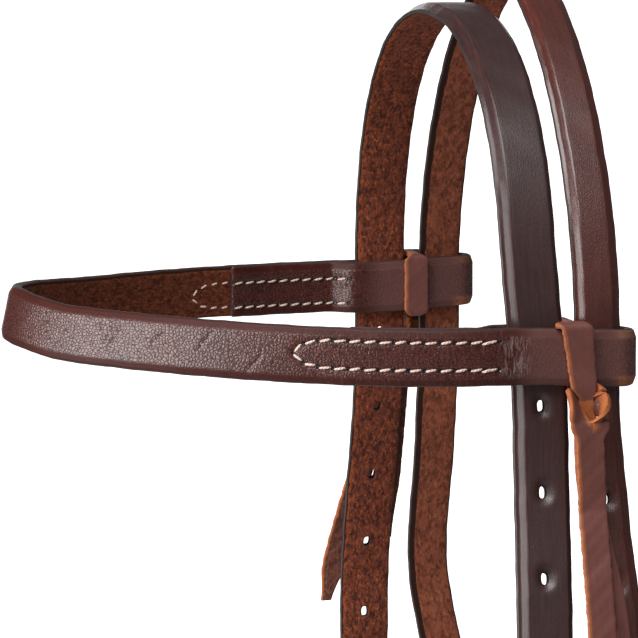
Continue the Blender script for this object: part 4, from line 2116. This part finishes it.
@dataclass
class BrowbandLace:
    """A latigo lace, tied round a browband loop with a bleed knot.

    The strip runs up the loop's outer face, over the top between the two straps, down the inner
    face and out under the bottom edge, where it is slit. Its first end passes down through the
    slit, and past the slit the strip hangs as the tail.
    """

    pattern: Pattern
    side: Side
    thick: float = 2.0 * MM
    cross_width: float = 3.6 * MM
    under_width: float = 2.1 * MM
    under_shift: float = 2.4 * MM
    front_width: float = 9.2 * MM
    top_width: float = 11.0 * MM
    front_foot: float = 3.7 * MM
    neck_width: float = 5.0 * MM
    neck_top: float = 1.2 * MM
    neck_reach: float = 4.6 * MM
    end_width: float = 8.0 * MM
    inner_width: float = 9.0 * MM
    slit_width: float = 13.2 * MM
    tail_width: float = 9.6 * MM
    tip_width: float = 4.0 * MM
    slit_opening: float = 5.0 * MM
    slit_share: float = 0.9
    tail_drop: float = 126.0 * MM
    tail_narrowing: float = 4.0 * MM
    short_drop: float = 92.0 * MM
    short_point: float = 28.0 * MM
    knot_drop: float = 13.0 * MM
    knot_step: float = 4.6 * MM
    front_shift: float = 1.5 * MM
    knot_shift: float = 4.5 * MM
    strap_clear: float = 0.8 * MM
    tail_point_share: float = 0.15
    torn_reach: float = 15.0 * MM
    slit_half: float = 0.12 * MM
    slit_inset: float = 0.4 * MM
    rear_turn: float = math.radians(135.0)
    front_turn: float = math.radians(48.0)
    waver: float = 0.28 * MM
    fray: float = 0.4 * MM
    fray_reach: float = 2.0 * MM
    curl: float = 0.12 * MM
    sample: float = 1.0 * MM
    body: str = "browband_unit"

    @property
    def hang(self) -> LaceHang:
        """How this side's two ends hang."""
        if self.side is Side.NEAR:
            return LaceHang(tail_shift=5.6 * MM, tail_swing=30.0 * MM, short_shift=17.5 * MM,
                            short_swing=112.0 * MM)
        return LaceHang(tail_shift=-6.0 * MM, tail_swing=17.5 * MM, short_shift=-2.8 * MM,
                        short_swing=14.0 * MM, tail_lean=0.23, lean_from=40.0 * MM)

    @property
    def gap_y(self) -> float:
        """Middle of the gap between the two head straps."""
        pattern = self.pattern
        gap_front = -pattern.crown_from_fold + pattern.crown_width / 2
        gap_back = -pattern.throat_from_fold - pattern.throat_width / 2
        return (gap_front + gap_back) / 2

    def strap_clearance(self, height: float) -> float:
        """X at which an end hangs clear of the crown strap, also when the browband has slid down."""
        pattern = self.pattern
        line = pattern.strap_line(pattern.crown_thick)
        followed = float(pattern.leg_x(height - pattern.slide_down, line, pattern.crown_flare))
        return followed + pattern.crown_thick / 2 + self.strap_clear + self.thick / 2

    def short_end(self, front: float, knot_z: float) -> list[tuple[float, float, float, float]]:
        """Return the rows of the short end, from its tip up to the browband's lower edge."""
        base = -self.pattern.band_width / 2
        tip = base - self.short_drop
        neck_y = self.gap_y + self.knot_shift
        end_y = self.gap_y + self.hang.short_shift
        rows = []
        for height in spaced(tip, base - self.neck_top, self.sample):
            up_neck = (height - base + self.neck_reach) / self.neck_reach
            y = blend(neck_y, end_y, (knot_z - height) / self.hang.short_swing)
            y -= blend(0.0, self.knot_shift - self.front_foot, up_neck)
            width = blend(self.tip_width, self.end_width, (height - tip) / self.short_point)
            width = blend(width, self.neck_width, (height - knot_z) / (base - self.neck_reach - knot_z))
            width = blend(width, self.front_width, up_neck)
            rows.append((max(front, self.strap_clearance(height)), y, height, width))
        return rows

    def rows(self) -> tuple[np.ndarray, int, int]:
        """Return (x, y, z, width) rows on the near side and the first and last row of the slit."""
        pattern = self.pattern
        half_high = pattern.band_width / 2
        reach = pattern.touch + self.thick / 2
        front = pattern.half_span + pattern.band_thick / 2 + reach
        back = pattern.half_span - 2 * pattern.fold_radius - pattern.band_thick / 2 - reach
        top = half_high + reach
        gap_y = self.gap_y
        under_y = gap_y + (self.under_shift if self.side is Side.NEAR else 0.0)
        under_width = self.under_width if self.side is Side.NEAR else self.cross_width
        knot_x = front + self.knot_step
        knot_z = -half_high - self.knot_drop
        neck_y = gap_y + self.knot_shift
        front_y = gap_y + self.front_shift
        rows = self.short_end(front, knot_z)
        first_width = rows[-1][3]
        for share in np.linspace(0.0, 1.0, 26)[1:]:
            width = blend(first_width, self.front_width, share * 8)
            rows.append((front, gap_y + self.front_foot + (self.front_shift - self.front_foot) * share,
                         -half_high + 2 * half_high * share,
                         width + (self.top_width - self.front_width) * share**2))
        start_width = rows[-1][3]
        for share in np.linspace(0.0, 1.0, 13)[1:]:
            turn = math.pi / 2 * share
            rows.append((front - reach + reach * math.cos(turn), blend(front_y, gap_y, share),
                         half_high + reach * math.sin(turn), start_width))
        for share in np.linspace(0.0, 1.0, 28)[1:-1]:
            rows.append((front - reach + (back + reach - front + reach) * share, gap_y, top,
                         blend(start_width, self.cross_width, (share - 0.1) / 0.18)))
        for share in np.linspace(0.0, 1.0, 10):
            turn = math.pi / 2 * (1 + share)
            rows.append((back + reach + reach * math.cos(turn), gap_y, half_high + reach * math.sin(turn),
                         blend(self.cross_width, self.inner_width, share)))
        for share in np.linspace(0.0, 1.0, 20)[1:-1]:
            rows.append((back, blend(gap_y, under_y, share), half_high - 2 * half_high * share,
                         self.inner_width))
        for share in np.linspace(0.0, 1.0, 10):
            turn = math.pi * (1 + 0.5 * share)
            rows.append((back + reach + reach * math.cos(turn), under_y, -half_high + reach * math.sin(turn),
                         blend(self.inner_width, under_width, share)))
        slit_x = pattern.strap_line(pattern.crown_thick) + pattern.crown_thick / 2 + 2 * pattern.touch
        for share in np.linspace(0.0, 1.0, 10)[1:-1]:
            rows.append((back + reach + (slit_x - back - reach) * share, under_y, -top, under_width))
        first = len(rows)
        for share in np.linspace(0.0, 1.0, 41):
            turn = math.pi / 2 * share
            rows.append((slit_x + (knot_x - slit_x) * math.sin(turn), blend(under_y, neck_y, share * 3),
                         -top + (knot_z + top) * (1.0 - math.cos(turn)),
                         blend(under_width, self.slit_width, share * 3)))
        last = len(rows) - 1
        bottom = -self.tail_drop
        end_y = gap_y + self.hang.tail_shift
        for height in spaced(knot_z, bottom, self.sample)[1:]:
            width = blend(self.slit_width, self.tail_width, (knot_z - height) / self.tail_narrowing)
            left = (height - bottom) / (self.tail_point_share * (knot_z - bottom))
            width = blend(self.tip_width, width, left)
            x = max(knot_x, self.strap_clearance(height) + self.thick + pattern.touch)
            y = blend(neck_y, end_y, (knot_z - height) / self.hang.tail_swing)
            y -= self.hang.tail_lean * max(-height - self.hang.lean_from, 0.0)
            rows.append((x, y, height, width))
        table = np.array(rows)
        table[:, 2] += pattern.loop_dip(float(self.side.value), gap_y)
        return table, first, last

    def slit_edge(self, start: float, end: float) -> Shape:
        """Return the shape of all cut edges, with the rear lip of the slit torn."""

        def shape(flat: np.ndarray) -> np.ndarray:
            """Shape flat places."""
            share = np.clip((flat[:, 1] - start) / (end - start), 0.0, 1.0)
            torn = np.sin(math.pi * share) * (flat[:, 0] > 0) * np.exp(-flat[:, 0] / self.fray_reach)
            return self.ragged(flat, torn)

        return shape

    def lips(self, start: float, end: float) -> Shape:
        """Return the shape of the opened slit: its lips part, and the rear one is turned inside out."""

        def shape(flat: np.ndarray) -> np.ndarray:
            """Shape flat places."""
            share = (flat[:, 1] - start) / (end - start)
            inside = (share > 0.0) & (share < 1.0)
            rear = flat[:, 0] > 0
            held = np.clip(share, 0.0, 1.0)
            swell = np.where(inside, np.sin(math.pi * np.where(rear, held**1.25, held)) ** 0.7, 0.0)
            half = self.slit_width / 4
            middle = np.where(rear, half, -half)
            twist = swell * np.where(rear, self.rear_turn, self.front_turn)
            side = flat[:, 0] - middle
            moved = flat.copy()
            moved[:, 0] = middle + side * np.cos(twist) - flat[:, 2] * np.sin(twist)
            moved[:, 2] = side * np.sin(twist) + flat[:, 2] * np.cos(twist)
            moved[:, 0] += swell * np.where(rear, 1.0, -1.0) * self.slit_opening / 4
            return np.where(inside[:, None], moved, flat)

        return shape

    def ragged(self, flat: np.ndarray, torn: np.ndarray) -> np.ndarray:
        """Shape the knife-cut edges, which waver a little, and more where torn is 1."""
        moved = flat.copy()
        outside = np.clip(np.abs(flat[:, 0]) / (self.tail_width / 2), 0.0, 1.0) ** 3
        sign = np.sign(flat[:, 0])
        wave = ripple(flat[:, 1], 7.0 * MM, 1.7 * sign) * 0.7 + ripple(flat[:, 1], 2.6 * MM, sign) * 0.3
        moved[:, 0] += sign * outside * wave * self.waver
        moved[:, 0] += torn * (0.6 * wave + 0.4 * ripple(flat[:, 1], 1.9 * MM, 4.0)) * self.fray
        moved[:, 2] += self.curl * ripple(flat[:, 1] + flat[:, 0], 17.0 * MM, 0.6)
        return moved

    def build(self, looks: Looks) -> None:
        """Build the lace."""
        rows, first, last = self.rows()
        route = Route(rows[:, :3] + self.pattern.origin, BACK, rows[:, 3], self.thick)
        start, end = float(route.lengths[first]), float(route.lengths[last])
        end = start + (end - start) * self.slit_share
        slit = Punch((start + end) / 2, self.slit_half, (end - start) / 2 - self.slit_inset)
        if self.side is Side.FAR:
            route = route.mirrored()
        section = Section(self.slit_width, self.thick, bevel=0.9 * MM, bevel_drop=0.14 * MM,
                          edge_depth=0.4 * MM, flesh_drop=0.1 * MM, cell=0.62 * MM, edge_steps=5)
        strap = Strap(f"{self.side.word}_lace_latigo", section, route, punches=[slit], step=0.6 * MM,
                      end_round=0.5 * MM, pattern_shift=10.0 + self.side.value, rim_bevel=0.05 * MM,
                      wear_reach=11.0 * MM, back_wear_reach=5.0 * MM, turned_from=start,
                      torn=(self.short_drop - self.torn_reach, self.short_drop + 0.8 * MM),
                      shapes=[self.slit_edge(start, end), self.lips(start, end)])
        strap.build(looks.lace, self.body, "latigo_lace", [f"{self.side.word}_browband_lace"])


@dataclass
class Studio:
    """A pale floor, soft light and the photograph's camera.

    The camera's numbers are in the maker's frame: it looks at the middle between the loops.
    """

    pattern: Pattern
    turn: float = math.radians(13.9362)
    lift: float = math.radians(7.37739)
    distance: float = 1.3958
    aim_right: float = -81.16 * MM
    aim_up: float = -1.69 * MM
    lens: float = 222.41
    floor_drop: float = 1.2
    floor_radius: float = 40.0
    room_light: float = 0.1
    backdrop_x: float = -5.0
    backdrop_y: float = 1.2
    backdrop_size: tuple[float, float] = (3.4, 2.9)
    backdrop_glow: float = 1.2
    lit_spot: Spot = (0.0, -0.05, -0.12)
    window: Spot = (0.36, -1.66, -0.05)
    bank: Spot = (1.0, -0.7, 1.55)

    def axes(self) -> tuple[np.ndarray, np.ndarray, np.ndarray]:
        """Return the camera's right, up and back directions."""
        right = np.array([math.sin(self.turn), math.cos(self.turn), 0.0])
        level = np.array([math.cos(self.turn), -math.sin(self.turn), 0.0])
        back = level * math.cos(self.lift) + np.array([0.0, 0.0, math.sin(self.lift)])
        return right, np.cross(back, right), back

    def add_camera(self) -> None:
        """Add the camera at the photograph's viewpoint."""
        right, up, back = self.axes()
        place = back * self.distance + right * self.aim_right + up * self.aim_up + self.pattern.origin
        data = bpy.data.cameras.new("camera")
        data.lens = self.lens
        camera = placed("camera", data)
        camera.matrix_world = Matrix.Translation(place) @ Matrix((right, up, back)).transposed().to_4x4()
        bpy.context.scene.camera = camera

    def add_lamp(self, name: str, place: Spot, aim: Spot, size: tuple[float, float], power: float) -> None:
        """Add a soft lamp that looks at a point."""
        data = bpy.data.lights.new(name, "AREA")
        data.shape = "RECTANGLE"
        data.size, data.size_y = size
        data.energy = power
        lamp = placed(name, data)
        lamp.visible_camera = False
        lamp.location = place
        lamp.rotation_euler = (Vector(aim) - Vector(place)).to_track_quat("-Z", "Y").to_euler()

    def add_sheet(self, name: str, sheet: BMesh, glow: float = 0.0) -> None:
        """Add a sheet of pale paper to the stage; glow is how brightly it is lit through from behind."""
        mesh = finished(sheet, name)
        tree = ShaderTree(f"{name}_paper")
        place = tree.node("ShaderNodeTexCoord").outputs["Object"]
        fibre = tree.noise(place, 90.0, 3.0, 0.6)
        colour = tree.mix(fibre * 0.06, (0.84, 0.84, 0.84), (0.77, 0.77, 0.77))
        tree.shader.inputs["Emission Color"].default_value = (1.0, 1.0, 1.0, 1.0)
        tree.shader.inputs["Emission Strength"].default_value = glow
        mesh.materials.append(tree.dress(colour, 0.85, fibre * (0.02 * MM)))
        item = placed(name, mesh)
        item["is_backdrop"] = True

    def add_floor(self, height: float) -> None:
        """Add the pale floor under the headstall."""
        disc = bmesh.new()
        bmesh.ops.create_circle(disc, cap_ends=True, segments=96, radius=self.floor_radius)
        bmesh.ops.translate(disc, vec=(0.0, 0.0, height), verts=disc.verts)
        self.add_sheet("studio_floor", disc)

    def add_backdrop(self, height: float) -> None:
        """Stand a white sheet on the floor, behind the headstall as the camera sees it."""
        wide, high = self.backdrop_size
        middle = (self.backdrop_x, self.backdrop_y, height + high / 2)
        upright = Matrix.Rotation(math.pi / 2, 3, "Y")
        sheet = bmesh.new()
        bmesh.ops.create_grid(sheet, x_segments=2, y_segments=2, size=0.5)
        bmesh.ops.scale(sheet, vec=(high, wide, 1.0), verts=sheet.verts)
        bmesh.ops.rotate(sheet, cent=(0, 0, 0), matrix=upright, verts=sheet.verts)
        bmesh.ops.translate(sheet, vec=middle, verts=sheet.verts)
        self.add_sheet("studio_backdrop", sheet, self.backdrop_glow)

    def add_world(self) -> None:
        """Fill the room with a little even light."""
        world = bpy.data.worlds.new("studio")
        bpy.context.scene.world = world
        world.use_nodes = True
        shade = world.node_tree.nodes["Background"]
        shade.inputs["Color"].default_value = (1.0, 1.0, 1.0, 1.0)
        shade.inputs["Strength"].default_value = self.room_light

    def build(self, lowest: float) -> None:
        """Add everything round the headstall."""
        self.add_camera()
        self.add_floor(lowest - self.floor_drop)
        self.add_backdrop(lowest - self.floor_drop)
        self.add_world()
        self.add_lamp("key_window", self.window, self.lit_spot, (1.4, 1.6), 40.0)
        self.add_lamp("top_bank", self.bank, self.lit_spot, (1.8, 1.3), 46.0)
        bpy.context.scene.view_settings.view_transform = "Standard"


def main() -> None:
    """Build the headstall's looks round its frame."""
    logging.basicConfig(level=logging.INFO, format="%(name)s: %(message)s")
    cad_low, cad_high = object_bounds()
    pattern = Pattern()
    looks = Looks.mixed()
    Studio(pattern).build(cad_low.z)

    Browband(pattern).build(looks)
    CrownStrap(pattern).build(looks)
    throat = Throatlatch(pattern)
    throat_fit = BuckleFit(pattern, pattern.throat_width, pattern.throat_thick, pattern.throat_thick)
    throat.build(looks, throat_fit)
    throat_heel = throat.heel + pattern.origin + OUT * throat_fit.heel_across
    seat = Seat(throat_heel, throat.down, throat.side, False)
    Buckle("throat", throat_fit, seat).build(looks, looks.throat, "throat_leather")

    cheek_fit = BuckleFit(pattern, pattern.crown_width, pattern.crown_thick, pattern.cheek_thick)
    x = pattern.strap_line(pattern.crown_thick) + pattern.crown_flare + cheek_fit.heel_across
    heel = np.array([x, -pattern.crown_from_fold, -pattern.crown_heel_drop]) + pattern.origin
    for side in Side:
        BrowbandLace(pattern, side).build(looks)
        cheek = CheekStrap(cheek_fit, side, heel)
        cheek.build(looks)
        BitScrews(cheek).build(looks)
        seat = Seat(heel, -UP, BACK, side is Side.FAR)
        Buckle(f"{side.word}_cheek", cheek_fit, seat).build(looks, looks.crown, "crown_leather")


if __name__ == "__main__":
    main()
